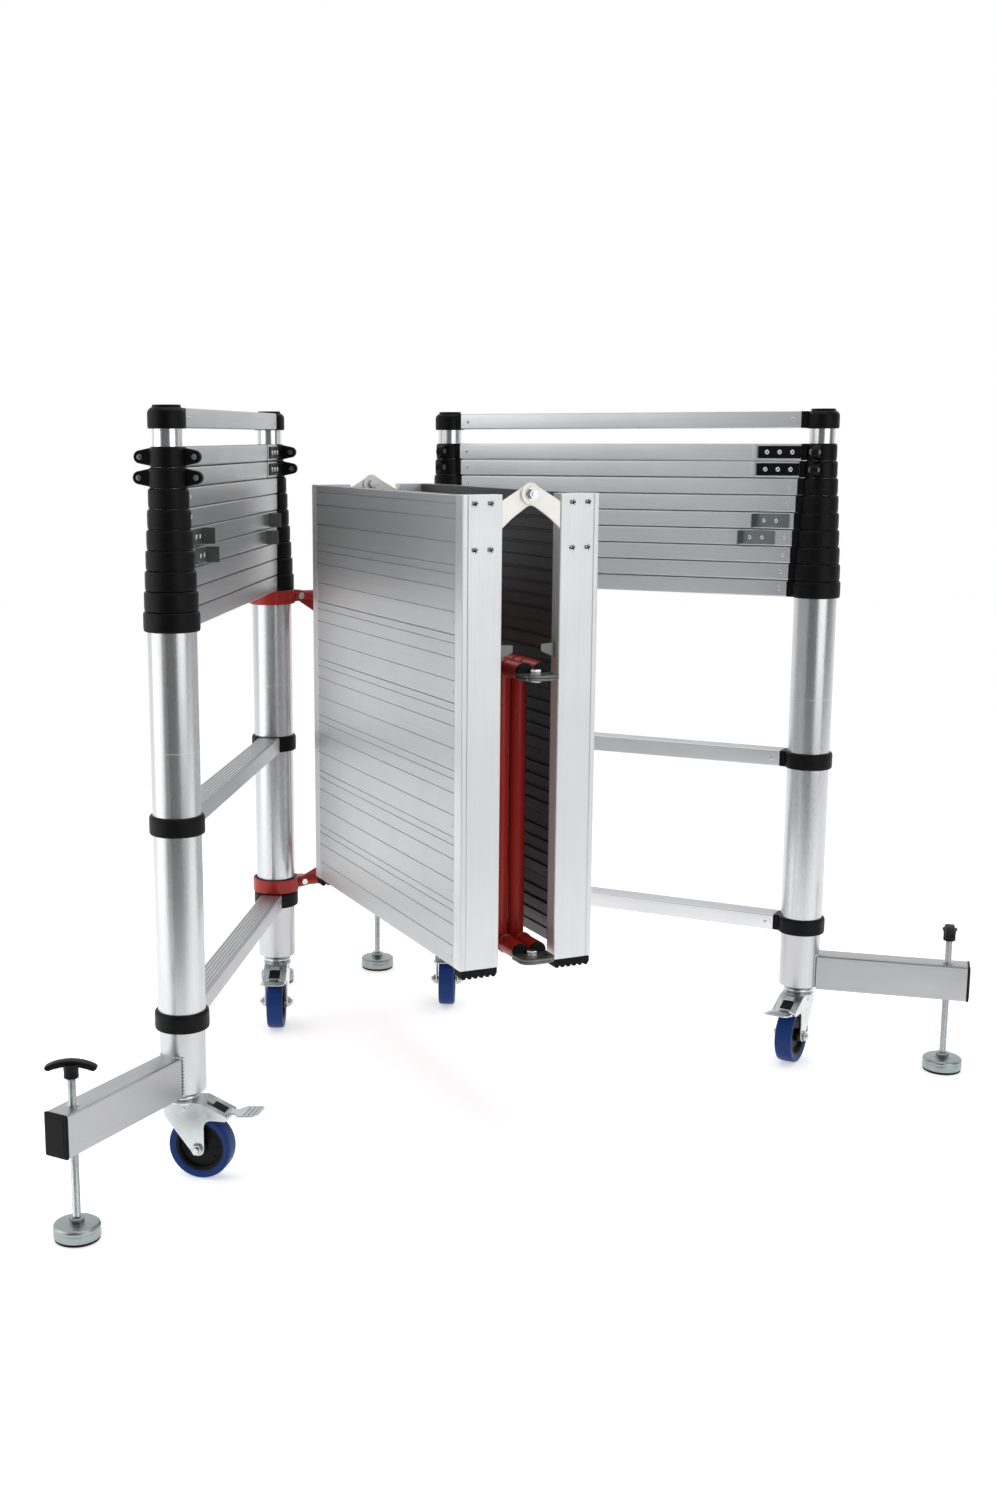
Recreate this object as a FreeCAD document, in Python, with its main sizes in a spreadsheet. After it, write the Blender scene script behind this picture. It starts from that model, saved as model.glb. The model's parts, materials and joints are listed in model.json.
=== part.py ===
import FreeCAD, Part
import Sketcher
import os

# Folding telescopic scaffold tower, folded up on its casters.
# Two telescopic ladder frames hang on a red two-leaf brace, and a two-part deck straddles the
# brace. Millimetres, +Z up, floor at zero. The brace leaves run along -Y from the two far posts
# to the brace pivot, the left frame is at -X and the right frame at +X.

doc = FreeCAD.newDocument("tower")
sheet = doc.addObject("Spreadsheet::Sheet", "Dims")

SIZES = {
    # the middle of the whole tower's floor plan, which becomes the origin
    "centre_x": 44.23, "centre_y": -255.87,
    # clearances: a face that rests on another, a pin in its hole, and bolted plates
    "sleeve_fit": 0.05, "pin_gap": 0.08, "plate_gap": 0.1, "plate_play": 0.3,
    # ladder frames
    "post_spacing": 706.0, "post_offset": 180.0, "left_angle": 239.6, "right_angle": -50.4,
    "outer_radius": 36.0, "tube_wall": 1.3, "tube_gap": 0.3,
    "inner_length": 400.0, "outer_bottom": 236.0, "rung_pitch": 300.0,
    "collar_height": 28.6, "collar_step": 29.2, "collar_wall": 5.25, "collar_thinning": 0.35,
    "boss_reach": 5.0, "boss_width": 36.0,
    "rung_width": 40.0, "rung_height": 28.4, "rung_wall": 1.6,
    "ear_reach": 26.0, "ear_thickness": 12.0, "ear_height": 24.0,
    "cap_lift": 24.3, "cap_height": 33.5, "cap_wall": 5.9, "cap_top": 6.0, "rail_lift": 1.0,
    # swivel legs with their outrigger arms
    "leg_bottom": 138.0, "leg_top": 400.0, "arm_length": 292.0, "arm_width": 40.0,
    "arm_height": 64.0, "arm_bottom": 134.0, "arm_wall": 2.5, "arm_cap": 4.0,
    "screw_reach": 255.0, "screw_radius": 6.0, "screw_gap": 0.3, "insert_radius": 10.0,
    "left_far_arm": 71.4, "left_near_arm": 217.3, "right_far_arm": 101.6, "right_near_arm": -38.8,
    "plug_height": 12.0, "kingpin_radius": 6.0,
    # jack screws and feet
    "pad_radius": 34.0, "pad_height": 24.0, "pad_rubber": 4.0, "rubber_inset": 1.5,
    "pad_nut_radius": 11.0, "pad_nut_top": 33.0, "seat_depth": 1.5, "screw_lift": 2.0,
    "handle_bottom": 239.0, "handle_top": 267.0, "handle_span": 76.0, "handle_width": 20.0,
    "handle_hub_radius": 11.0, "handle_hub_height": 14.0, "handle_cover": 4.0,
    "left_far_handle": 0.0, "left_near_handle": 30.0, "right_far_handle": 0.0, "right_near_handle": 0.0,
    # casters
    "wheel_radius": 50.0, "wheel_width": 32.0, "tyre_thickness": 12.0, "hub_inset": 2.0,
    "axle_radius": 5.0, "axle_overhang": 7.0, "nut_rim": 4.0, "nut_height": 5.0,
    "wheel_trail": 28.0, "fork_plate": 3.0, "fork_clearance": 3.0, "crown_bottom": 116.0,
    "crown_radius": 27.0, "crown_height": 8.0, "bearing_radius": 24.0, "bearing_gap": 0.4,
    "cheek_top": 6.0, "cheek_tip": 11.0, "cheek_shoulder": 34.0, "cheek_below": 6.0,
    "cheek_back": 4.0, "cheek_drop": 22.0, "beak_reach": 49.0, "beak_root": 18.0,
    "beak_low": 18.0, "beak_high": 12.0, "beak_rise": 4.0,
    "pedal_start": 44.0, "pedal_length": 54.0, "pedal_width": 30.0, "pedal_flare": 46.0,
    "pedal_thickness": 3.0, "pedal_height": 98.0, "pedal_rise": 8.0, "pedal_eye": 2.5,
    "left_far_caster": 246.0, "left_near_caster": -38.0,
    "right_far_caster": 243.0, "right_near_caster": 216.0,
    # folding brace: each tube is a little slimmer than the one that it is welded to
    "brace_tube_radius": 14.0, "brace_wall": 1.5, "weld_step": 0.4, "leaf_offset": 15.0,
    "brace_reach": 714.0, "brace_start": 12.0, "brace_low": 317.0, "brace_high": 760.0,
    "brace_inset": 90.0, "far_post_inset": 6.0, "upright_overhang": 10.0,
    "band_height": 25.0, "band_gap": 0.5, "band_wall": 2.7, "liner_wall": 4.0,
    "arm_bar_radius": 9.0, "pivot_plate": 4.0, "pivot_radius": 5.0,
    "pivot_plate_half": 30.0, "pivot_plate_reach": 31.0, "pivot_drop": 10.0, "pivot_play": 0.8,
    "tongue_inset": 2.0, "tongue_width": 26.0, "pivot_head": 4.0, "pivot_rim": 4.0,
    # deck halves
    "deck_centre": -10.0, "deck_gap": 97.0, "deck_depth": 65.5, "deck_near": -714.0,
    "deck_width": 646.0, "deck_bottom": 301.0, "deck_length": 726.0, "rail_thickness": 25.0,
    "rail_wall": 2.0, "plank_depth": 24.0, "plank_wall": 2.0, "plank_gap": 0.4,
    "foot_height": 15.0, "foot_inset": 2.0,
    "knee_radius": 17.0, "knee_thickness": 4.0, "knee_drop": 52.0, "knee_shoulder": 8.0,
    "knee_chamfer": 4.0, "knee_inset": 1.0, "hinge_rise": 0.3, "hinge_bolt_radius": 4.0,
    "hinge_head_rim": 3.0, "hinge_head": 5.0, "hinge_shank": 15.0, "hinge_proud": 3.0,
    "hinge_head_gap": 0.5,
    "hanger_width": 25.0, "hanger_height": 24.0, "hanger_thickness": 3.0, "hanger_inset": 11.0,
    "hanger_lift": 5.0,
}
PLANKS = 7          # planks in each deck half
SECTIONS = 9        # telescopic sections above the fixed tubes of each frame

for row, (name, size) in enumerate(SIZES.items(), start=1):
    sheet.set(f"A{row}", name)
    sheet.set(f"B{row}", str(size))
    sheet.setAlias(f"B{row}", name)
doc.recompute()


def bound(text):
    """Turns a formula of sheet names into one that the document reads."""
    out, word = "", ""
    for letter in str(text) + " ":
        if letter.isalnum() or letter in "_.":
            word += letter
            continue
        out += ("Dims." + word if word in SIZES else word) + letter
        word = ""
    return out.strip()


def bind(item, **formulas):
    for key, formula in formulas.items():
        item.setExpression(key.replace("__", "."), bound(formula))
    return item


def move(item, x=0, y=0, z=0):
    return bind(item, Placement__Base__x=x, Placement__Base__y=y, Placement__Base__z=z)


def cylinder(name, radius, height, x=0, y=0, z=0, along="z"):
    rod = doc.addObject("Part::Cylinder", name)
    turns = {"z": FreeCAD.Rotation(), "x": FreeCAD.Rotation(FreeCAD.Vector(0, 1, 0), 90),
             "y": FreeCAD.Rotation(FreeCAD.Vector(1, 0, 0), -90)}
    rod.Placement = FreeCAD.Placement(FreeCAD.Vector(), turns[along])
    bind(rod, Radius=radius, Height=height)
    return move(rod, x, y, z)


def box(name, length, width, height, x=0, y=0, z=0):
    block = doc.addObject("Part::Box", name)
    bind(block, Length=length, Width=width, Height=height)
    return move(block, x, y, z)


def cut(name, base, tool):
    item = doc.addObject("Part::Cut", name)
    item.Base, item.Tool = base, tool
    return item


def fuse(name, pieces):
    item = doc.addObject("Part::MultiFuse", name)
    item.Shapes = pieces
    return item


def tube(name, radius, bore, height, x=0, y=0, z=0, along="z"):
    return cut(name, cylinder(name + "_outside", radius, height, x, y, z, along),
               cylinder(name + "_bore", bore, height, x, y, z, along))


def hollow(name, length, width, height, wall, x, y, z, along="x"):
    """A square tube, open at the two ends that face along the given direction."""
    inner = {axis: (f"{size} - 2 * ({wall})", f"{start} + ({wall})")
             for axis, size, start in (("x", length, x), ("y", width, y), ("z", height, z))}
    inner[along] = {"x": (length, x), "y": (width, y), "z": (height, z)}[along]
    outside = box(name + "_outside", length, width, height, x, y, z)
    inside = box(name + "_inside", inner["x"][0], inner["y"][0], inner["z"][0],
                 inner["x"][1], inner["y"][1], inner["z"][1])
    return cut(name, outside, inside)


def plate(name, points, thickness, role="XZ_Plane", x=0, y=0, z=0):
    """A flat plate: a sketched outline of straight sides, padded evenly about its plane."""
    body = doc.addObject("PartDesign::Body", name)
    sketch = body.newObject("Sketcher::SketchObject", name + "_outline")
    plane = [item for item in body.Origin.OriginFeatures if item.Role == role][0]
    sketch.AttachmentSupport = (plane, [""])
    sketch.MapMode = "FlatFace"
    places = [FreeCAD.Vector(worth(a), worth(b), 0) for a, b in points]
    count = len(points)
    for i in range(count):
        sketch.addGeometry(Part.LineSegment(places[i], places[(i + 1) % count]), False)
    for i in range(count):
        nearest = (i + 1) % count
        sketch.addConstraint(Sketcher.Constraint("Coincident", i, 2, nearest, 1))
    for i, (a, b) in enumerate(points):
        for kind, formula, size in (("DistanceX", a, places[i].x), ("DistanceY", b, places[i].y)):
            number = sketch.addConstraint(Sketcher.Constraint(kind, -1, 1, i, 1, size))
            sketch.setExpression(f"Constraints[{number}]", bound(formula))
    pad = body.newObject("PartDesign::Pad", name + "_pad")
    pad.Profile = sketch
    pad.Midplane = True
    bind(pad, Length=thickness)
    return move(body, x, y, z)


def worth(formula):
    """The present value of a formula of sheet names."""
    probe.setExpression("Length", bound(f"{formula} + 10000"))
    probe.recompute()
    return probe.Length.Value - 10000


NODES = []


def node(label, pieces, x=0, y=0, turn=0):
    group = doc.addObject("Part::Compound", label)
    group.Links = pieces
    group.Label = label
    move(group, f"{x} - centre_x", f"{y} - centre_y")
    bind(group, Placement__Rotation__Angle=turn)
    NODES.append(group)


probe = doc.addObject("Part::Box", "probe")

SIDES = {"left": "-post_offset", "right": "post_offset"}
NEAR_X = {side: f"{SIDES[side]} + post_spacing * cos({side}_angle * 1 deg)" for side in SIDES}
NEAR_Y = {side: f"post_spacing * sin({side}_angle * 1 deg)" for side in SIDES}
POSTS = (("far", 0), ("near", "post_spacing"))
# undersides of the left leaf's pivot plates, a little below the axes of its two rails
PIVOTS = (("low", "(brace_low - pivot_drop)"), ("high", "(brace_high - pivot_drop)"))
HINGE_Z = "(deck_bottom + deck_length + hinge_rise)"


def tube_radius(level):
    """The outer radius of the tubes of one telescopic level, each sliding in the one before."""
    return f"(outer_radius - {level} * (tube_wall + tube_gap))"


def collar_radius(level):
    return f"({tube_radius(level)} + collar_wall - {level} * collar_thinning)"


def cap_radius():
    return f"({tube_radius(SECTIONS)} + cap_wall)"


def collar_bottom(level):
    return f"(outer_bottom + 2 * rung_pitch + {level} * collar_step)"


def collar(name, level, bottom, post, x, ears=False):
    """A collar ring with the boss that plugs it to the rung, and two ears for a guard rail."""
    radius = collar_radius(level)
    reach = f"({radius} + boss_reach)"
    start = x if post == "far" else f"{x} - {reach}"
    parts = [cylinder(name + "_ring", radius, "collar_height", x, 0, bottom),
             box(name + "_boss", reach, "boss_width", "collar_height", start, "-boss_width / 2", bottom)]
    if ears:
        parts.append(box(name + "_ears", "ear_thickness", f"2 * ({radius} + ear_reach)", "ear_height",
                         f"{x} - ear_thickness / 2", f"-({radius} + ear_reach)",
                         f"{bottom} + (collar_height - ear_height) / 2"))
    return cut(name + "_bored", fuse(name + "_body", parts),
               cylinder(name + "_bore", f"{tube_radius(level)} + sleeve_fit", "collar_height", x, 0, bottom))


def rung(name, level, bottom):
    """A rung between the bosses of two collars."""
    start = f"({collar_radius(level)} + boss_reach + sleeve_fit)"
    return hollow(name, f"post_spacing - 2 * {start}", "rung_width", "rung_height", "rung_wall",
                  start, "-rung_width / 2", bottom)


def fixed_part(side):
    """The outer tubes of a frame, with their collars, liners and fixed rungs."""
    name = f"{side}_outer"
    place = dict(x=SIDES[side], turn=f"{side}_angle")
    top = f"({collar_bottom(0)} + collar_height)"
    tubes = [tube(f"{name}_{post}", "outer_radius", "outer_radius - tube_wall", f"{top} - outer_bottom",
                  x, 0, "outer_bottom") for post, x in POSTS]
    node(f"{side}_outer_tubes", tubes, **place)
    bottoms = ["outer_bottom", "outer_bottom + rung_pitch", collar_bottom(0)]
    collars = [collar(f"{name}_collar_{i}_{post}", 0, bottom, post, x)
               for i, bottom in enumerate(bottoms) for post, x in POSTS]
    bore = "outer_radius + sleeve_fit"
    low = "(outer_bottom + collar_height + plate_gap)"
    high = f"({collar_bottom(0)} - band_height - 2 * band_gap)"
    for word, bottom in (("low", low), ("high", high)):
        collars.append(tube(f"{name}_{word}_liner", "outer_radius + liner_wall", bore,
                            "band_height + 2 * band_gap - 2 * plate_gap", 0, 0, bottom))
    node(f"{side}_fixed_collars", collars, **place)
    node(f"{side}_fixed_rungs", [rung(f"{name}_rung_{i}", 0, bottom) for i, bottom in enumerate(bottoms)],
         **place)


def section(side, level):
    """One telescopic section: two tubes, their collars or caps, and the rung between them."""
    name = f"{side}_section_{level}"
    last = level == SECTIONS
    bottom = collar_bottom(level) if not last else f"({collar_bottom(level)} + cap_lift)"
    radius = tube_radius(level)
    parts = []
    for post, x in POSTS:
        height = "cap_height - cap_top" if last else "collar_height"
        parts.append(tube(f"{name}_tube_{post}", radius, f"{radius} - tube_wall", "inner_length",
                          x, 0, f"{bottom} + {height} - inner_length"))
        if last:
            parts.append(cap(f"{name}_cap_{post}", radius, bottom, post, x))
        else:
            ears = level >= SECTIONS - 2
            parts.append(collar(f"{name}_collar_{post}", level, bottom, post, x, ears))
    if last:
        start = f"({cap_radius()} + boss_reach + sleeve_fit)"
        parts.append(hollow(f"{name}_rail", f"post_spacing - 2 * {start}", "rung_width", "rung_height",
                            "rung_wall", start, "-rung_width / 2", f"{bottom} + rail_lift"))
    else:
        parts.append(rung(f"{name}_rung", level, bottom))
    node(name, parts, x=SIDES[side], turn=f"{side}_angle")


def cap(name, radius, bottom, post, x):
    """The closed cap on top of the innermost tube, with a boss for the top rail."""
    reach = f"({cap_radius()} + boss_reach)"
    start = x if post == "far" else f"{x} - {reach}"
    body = fuse(name + "_body", [
        cylinder(name + "_dome", cap_radius(), "cap_height", x, 0, bottom),
        box(name + "_boss", reach, "boss_width", "rung_height", start, "-boss_width / 2",
            f"{bottom} + rail_lift")])
    bore = cylinder(name + "_bore", f"{radius} + sleeve_fit", "cap_height - cap_top + sleeve_fit",
                    x, 0, bottom)
    return cut(name, body, bore)


def leg(side, post):
    """A swivel leg: a tube that turns in the post, the welded outrigger arm and its end cap."""
    name = f"{side}_{post}_leg"
    radius = "(outer_radius - tube_wall - tube_gap)"
    arm = hollow(f"{name}_arm", "arm_length - arm_cap", "arm_width", "arm_height", "arm_wall",
                 0, "-arm_width / 2", "arm_bottom")
    insert = cylinder(f"{name}_insert", "insert_radius", "arm_height", "screw_reach", 0, "arm_bottom")
    stem = cylinder(f"{name}_stem", radius, "leg_top - leg_bottom", 0, 0, "leg_bottom")
    welded = fuse(f"{name}_welded", [arm, insert, stem])
    inside = cylinder(f"{name}_inside", f"{radius} - 2 * tube_wall", "leg_top - leg_bottom",
                      0, 0, "leg_bottom + plug_height")
    under = cylinder(f"{name}_under", f"{radius} + sleeve_fit", "leg_bottom - arm_bottom", 0, 0, "arm_bottom")
    kingpin = cylinder(f"{name}_kingpin_hole", "kingpin_radius + pin_gap", "plug_height", 0, 0, "leg_bottom")
    thread = cylinder(f"{name}_thread", "screw_radius + screw_gap", "arm_height", "screw_reach", 0,
                      "arm_bottom")
    body = cut(f"{name}_body", welded, fuse(f"{name}_holes", [inside, under, kingpin, thread]))
    end = box(f"{name}_end_cap", "arm_cap", "arm_width", "arm_height",
              "arm_length - arm_cap + sleeve_fit", "-arm_width / 2", "arm_bottom")
    node(name, [body, end], **leg_place(side, post, "arm"))


def leg_place(side, post, what):
    near = post == "near"
    return dict(x=NEAR_X[side] if near else SIDES[side], y=NEAR_Y[side] if near else 0,
                turn=f"{side}_{post}_{what}")


def jack(side, post):
    """The screw with its wing handle, and the swivel foot under it."""
    name = f"{side}_{post}"
    x = "screw_reach"
    bottom = "(pad_height + screw_lift)"
    rod = cylinder(f"{name}_rod", "screw_radius", f"handle_top - handle_cover - {bottom}", x, 0, bottom)
    hub = cylinder(f"{name}_hub", "handle_hub_radius", "handle_hub_height", x, 0, "handle_bottom")
    turn = f"{name}_handle"
    cosine, sine = f"cos({turn} * 1 deg)", f"sin({turn} * 1 deg)"
    wing = box(f"{name}_wing", "handle_width", "handle_span", "handle_top - handle_bottom - handle_hub_height",
               f"{x} - handle_width / 2 * {cosine} + handle_span / 2 * {sine}",
               f"-handle_width / 2 * {sine} - handle_span / 2 * {cosine}", "handle_bottom + handle_hub_height")
    bind(wing, Placement__Rotation__Angle=turn)
    bore = cylinder(f"{name}_handle_bore", "screw_radius + sleeve_fit",
                    "handle_top - handle_cover + sleeve_fit - handle_bottom", x, 0, "handle_bottom")
    handle = cut(f"{name}_handle", fuse(f"{name}_handle_body", [hub, wing]), bore)
    node(f"{name}_jack_screw", [rod, handle], **leg_place(side, post, "arm"))
    rubber = cylinder(f"{name}_rubber", "pad_radius - rubber_inset", "pad_rubber", x, 0, 0)
    disc = cylinder(f"{name}_disc", "pad_radius", "pad_height - pad_rubber - sleeve_fit", x, 0,
                    "pad_rubber + sleeve_fit")
    nut = cylinder(f"{name}_nut", "pad_nut_radius", "pad_nut_top - pad_height", x, 0, "pad_height")
    seat = cylinder(f"{name}_seat", "screw_radius + pin_gap", "pad_nut_top", x, 0, "pad_height + seat_depth")
    pad = cut(f"{name}_pad", fuse(f"{name}_pad_body", [disc, nut]), seat)
    node(f"{name}_foot", [rubber, pad], **leg_place(side, post, "arm"))


def caster(side, post):
    """A swivel caster: fork with kingpin and axle, wheel with tyre, and a brake pedal."""
    name = f"{side}_{post}"
    place = leg_place(side, post, "caster")
    reach = "(wheel_width / 2 + fork_clearance)"
    top = "(crown_bottom + crown_height)"
    front = "(wheel_trail + cheek_top)"
    crown = cylinder(f"{name}_crown", "crown_radius", "crown_height", 0, 0, "crown_bottom")
    race = cylinder(f"{name}_race", "bearing_radius", "leg_bottom - bearing_gap - crown_bottom", 0, 0,
                    "crown_bottom")
    pin = cylinder(f"{name}_kingpin", "kingpin_radius", "leg_bottom + plug_height - crown_bottom", 0, 0,
                   "crown_bottom")
    outline = [("-crown_radius", top), (front, top),
               ("wheel_trail + beak_reach", "crown_bottom - beak_high"),
               ("wheel_trail + beak_reach", "crown_bottom - beak_low"),
               ("wheel_trail + beak_root", "crown_bottom - beak_low - beak_rise"),
               ("wheel_trail + cheek_tip", "wheel_radius + cheek_shoulder"),
               ("wheel_trail + cheek_tip", "wheel_radius - cheek_below"),
               ("wheel_trail - cheek_tip", "wheel_radius - cheek_below"),
               ("-crown_radius + cheek_back", "crown_bottom - cheek_drop")]
    cheeks = [plate(f"{name}_{word}_cheek", outline, "fork_plate", y=f"{sign}({reach} + fork_plate / 2)")
              for word, sign in (("left", ""), ("right", "-"))]
    bridge = box(f"{name}_bridge", f"crown_radius + {front}", f"2 * {reach} + 2 * fork_plate", "fork_plate",
                 "-crown_radius", f"-({reach} + fork_plate)", f"{top} - fork_plate")
    axle_hole = cylinder(f"{name}_axle_hole", "axle_radius + pin_gap", "4 * wheel_width", "wheel_trail",
                         "-2 * wheel_width", "wheel_radius", along="y")
    fork = cut(f"{name}_fork_body", fuse(f"{name}_fork_all", [crown, race, pin, bridge] + cheeks), axle_hole)
    axle_end = f"({reach} + fork_plate + axle_overhang)"
    axle = cylinder(f"{name}_axle", "axle_radius", f"2 * {axle_end}", "wheel_trail", f"-{axle_end}",
                    "wheel_radius", along="y")
    nut_start = f"({reach} + fork_plate + plate_gap)"
    nuts = [tube(f"{name}_{word}_nut", "axle_radius + nut_rim", "axle_radius + sleeve_fit", "nut_height",
                 "wheel_trail", start, "wheel_radius", along="y")
            for word, start in (("left", nut_start), ("right", f"-({nut_start} + nut_height)"))]
    node(f"{name}_caster_fork", [fork, axle] + nuts, **place)
    half = "wheel_width / 2"
    tyre = tube(f"{name}_tyre", "wheel_radius", "wheel_radius - tyre_thickness", "wheel_width", "wheel_trail",
                f"-{half}", "wheel_radius", along="y")
    hub = tube(f"{name}_hub_disc", "wheel_radius - tyre_thickness - sleeve_fit", "axle_radius + pin_gap",
               "wheel_width - 2 * hub_inset", "wheel_trail", f"-{half} + hub_inset", "wheel_radius", along="y")
    node(f"{name}_wheel", [tyre, hub], **place)
    start = "(wheel_trail + pedal_start)"
    tread = "pedal_height + pedal_rise"
    tongue = box(f"{name}_tongue", "pedal_length", "pedal_width", "pedal_thickness", start,
                 "-pedal_width / 2", tread)
    flare = box(f"{name}_flare", "pedal_length / 3", "pedal_flare", "pedal_thickness",
                f"{start} + 2 * pedal_length / 3", "-pedal_flare / 2", tread)
    lip = box(f"{name}_lip", "pedal_thickness", "pedal_width", "pedal_rise + pedal_thickness", start,
              "-pedal_width / 2", "pedal_height")
    eye = cylinder(f"{name}_pedal_eye", "pedal_eye", "pedal_width", f"{start} + pedal_thickness / 2",
                   "-pedal_width / 2", "pedal_height + pedal_thickness / 2", along="y")
    node(f"{name}_brake_pedal", [fuse(f"{name}_pedal", [tongue, flare, lip, eye])], **place)


def leaf(side):
    """One leaf of the brace: welded red tubes, two clamp bands on bars, and the pivot plates."""
    name = f"brace_{side}"
    sign = "-" if side == "left" else ""
    x = f"({sign}leaf_offset)"
    low_z = "(outer_bottom + collar_height + band_gap + band_height / 2)"
    high_z = f"({collar_bottom(0)} - band_height / 2 - band_gap - sleeve_fit)"
    far_radius = "(brace_tube_radius + weld_step)"
    near_radius = "(brace_tube_radius - weld_step)"
    far = dict(height=f"{high_z} - {low_z} + 2 * upright_overhang", x=x, y="-far_post_inset",
               z=f"{low_z} - upright_overhang")
    rail = dict(height="brace_reach - brace_start - far_post_inset", x=x, y="-brace_reach + brace_start",
                along="y")
    near = dict(height="brace_high - brace_low", x=x, y="-brace_reach + brace_inset", z="brace_low")
    pieces = [tube(f"{name}_far_upright", far_radius, f"{far_radius} - brace_wall", **far)]
    for level in ("low", "high"):
        pieces.append(cut(f"{name}_{level}_rail",
                          tube(f"{name}_{level}_tube", "brace_tube_radius", "brace_tube_radius - brace_wall",
                               z=f"brace_{level}", **rail),
                          cylinder(f"{name}_{level}_cope", far_radius, **far)))
    copes = [cylinder(f"{name}_{level}_rail_space", "brace_tube_radius", z=f"brace_{level}", **rail)
             for level in ("low", "high")]
    pieces.append(cut(f"{name}_near_upright",
                      tube(f"{name}_near_tube", near_radius, f"{near_radius} - brace_wall", **near),
                      fuse(f"{name}_near_copes", copes)))
    band_radius = "outer_radius + liner_wall + tube_gap"
    for word, middle in (("low", low_z), ("high", high_z)):
        start = x if side == "right" else "-post_offset"
        arm = fuse(f"{name}_{word}_clamp_body", [
            cylinder(f"{name}_{word}_bar", "arm_bar_radius", "post_offset - leaf_offset", start,
                     "-far_post_inset", middle, along="x"),
            cylinder(f"{name}_{word}_band", f"{band_radius} + band_wall", "band_height", SIDES[side], 0,
                     f"{middle} - band_height / 2")])
        holes = fuse(f"{name}_{word}_clamp_holes", [
            cylinder(f"{name}_{word}_post_space", band_radius, "2 * band_height", SIDES[side], 0,
                     f"{middle} - band_height"),
            cylinder(f"{name}_{word}_bar_cope", far_radius, **far)])
        pieces.append(cut(f"{name}_{word}_clamp", arm, holes))
    lift = "0" if side == "left" else "(pivot_plate + plate_play + plate_gap)"
    plate_end = "(brace_start - sleeve_fit - pivot_play)"
    tongue_x = "-tongue_inset - tongue_width" if side == "left" else "tongue_inset"
    for level, start in PIVOTS:
        slab = box(f"{name}_{level}_slab", "2 * pivot_plate_half", f"pivot_plate_reach + {plate_end}",
                   "pivot_plate", "-pivot_plate_half", "-brace_reach - pivot_plate_reach", f"{start} + {lift}")
        tongue = box(f"{name}_{level}_tongue", "tongue_width", "brace_start - sleeve_fit", "pivot_plate",
                     tongue_x, "-brace_reach", f"{start} + {lift}")
        hole = cylinder(f"{name}_{level}_slab_hole", "pivot_radius + pin_gap", "3 * pivot_plate", 0,
                        "-brace_reach", f"{start} + {lift} - pivot_plate")
        pieces.append(cut(f"{name}_{level}_plate", fuse(f"{name}_{level}_plate_blank", [slab, tongue]), hole))
    node(name, pieces)


def pivot_bolts():
    """The two bolts that the brace leaves turn on."""
    bolts = []
    reach = "(2 * pivot_plate + plate_play + plate_gap)"
    for level, start in PIVOTS:
        bolts.append(fuse(f"pivot_{level}_bolt", [
            cylinder(f"pivot_{level}_shank", "pivot_radius", f"{reach} + 2 * pivot_head", 0, "-brace_reach",
                     f"{start} - pivot_head"),
            cylinder(f"pivot_{level}_head", "pivot_radius + pivot_rim", "pivot_head", 0, "-brace_reach",
                     f"{start} + {reach} + plate_play"),
            cylinder(f"pivot_{level}_nut", "pivot_radius + pivot_rim", "pivot_head", 0, "-brace_reach",
                     f"{start} - pivot_head - plate_play")]))
    node("brace_pivot_bolts", bolts)


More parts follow.
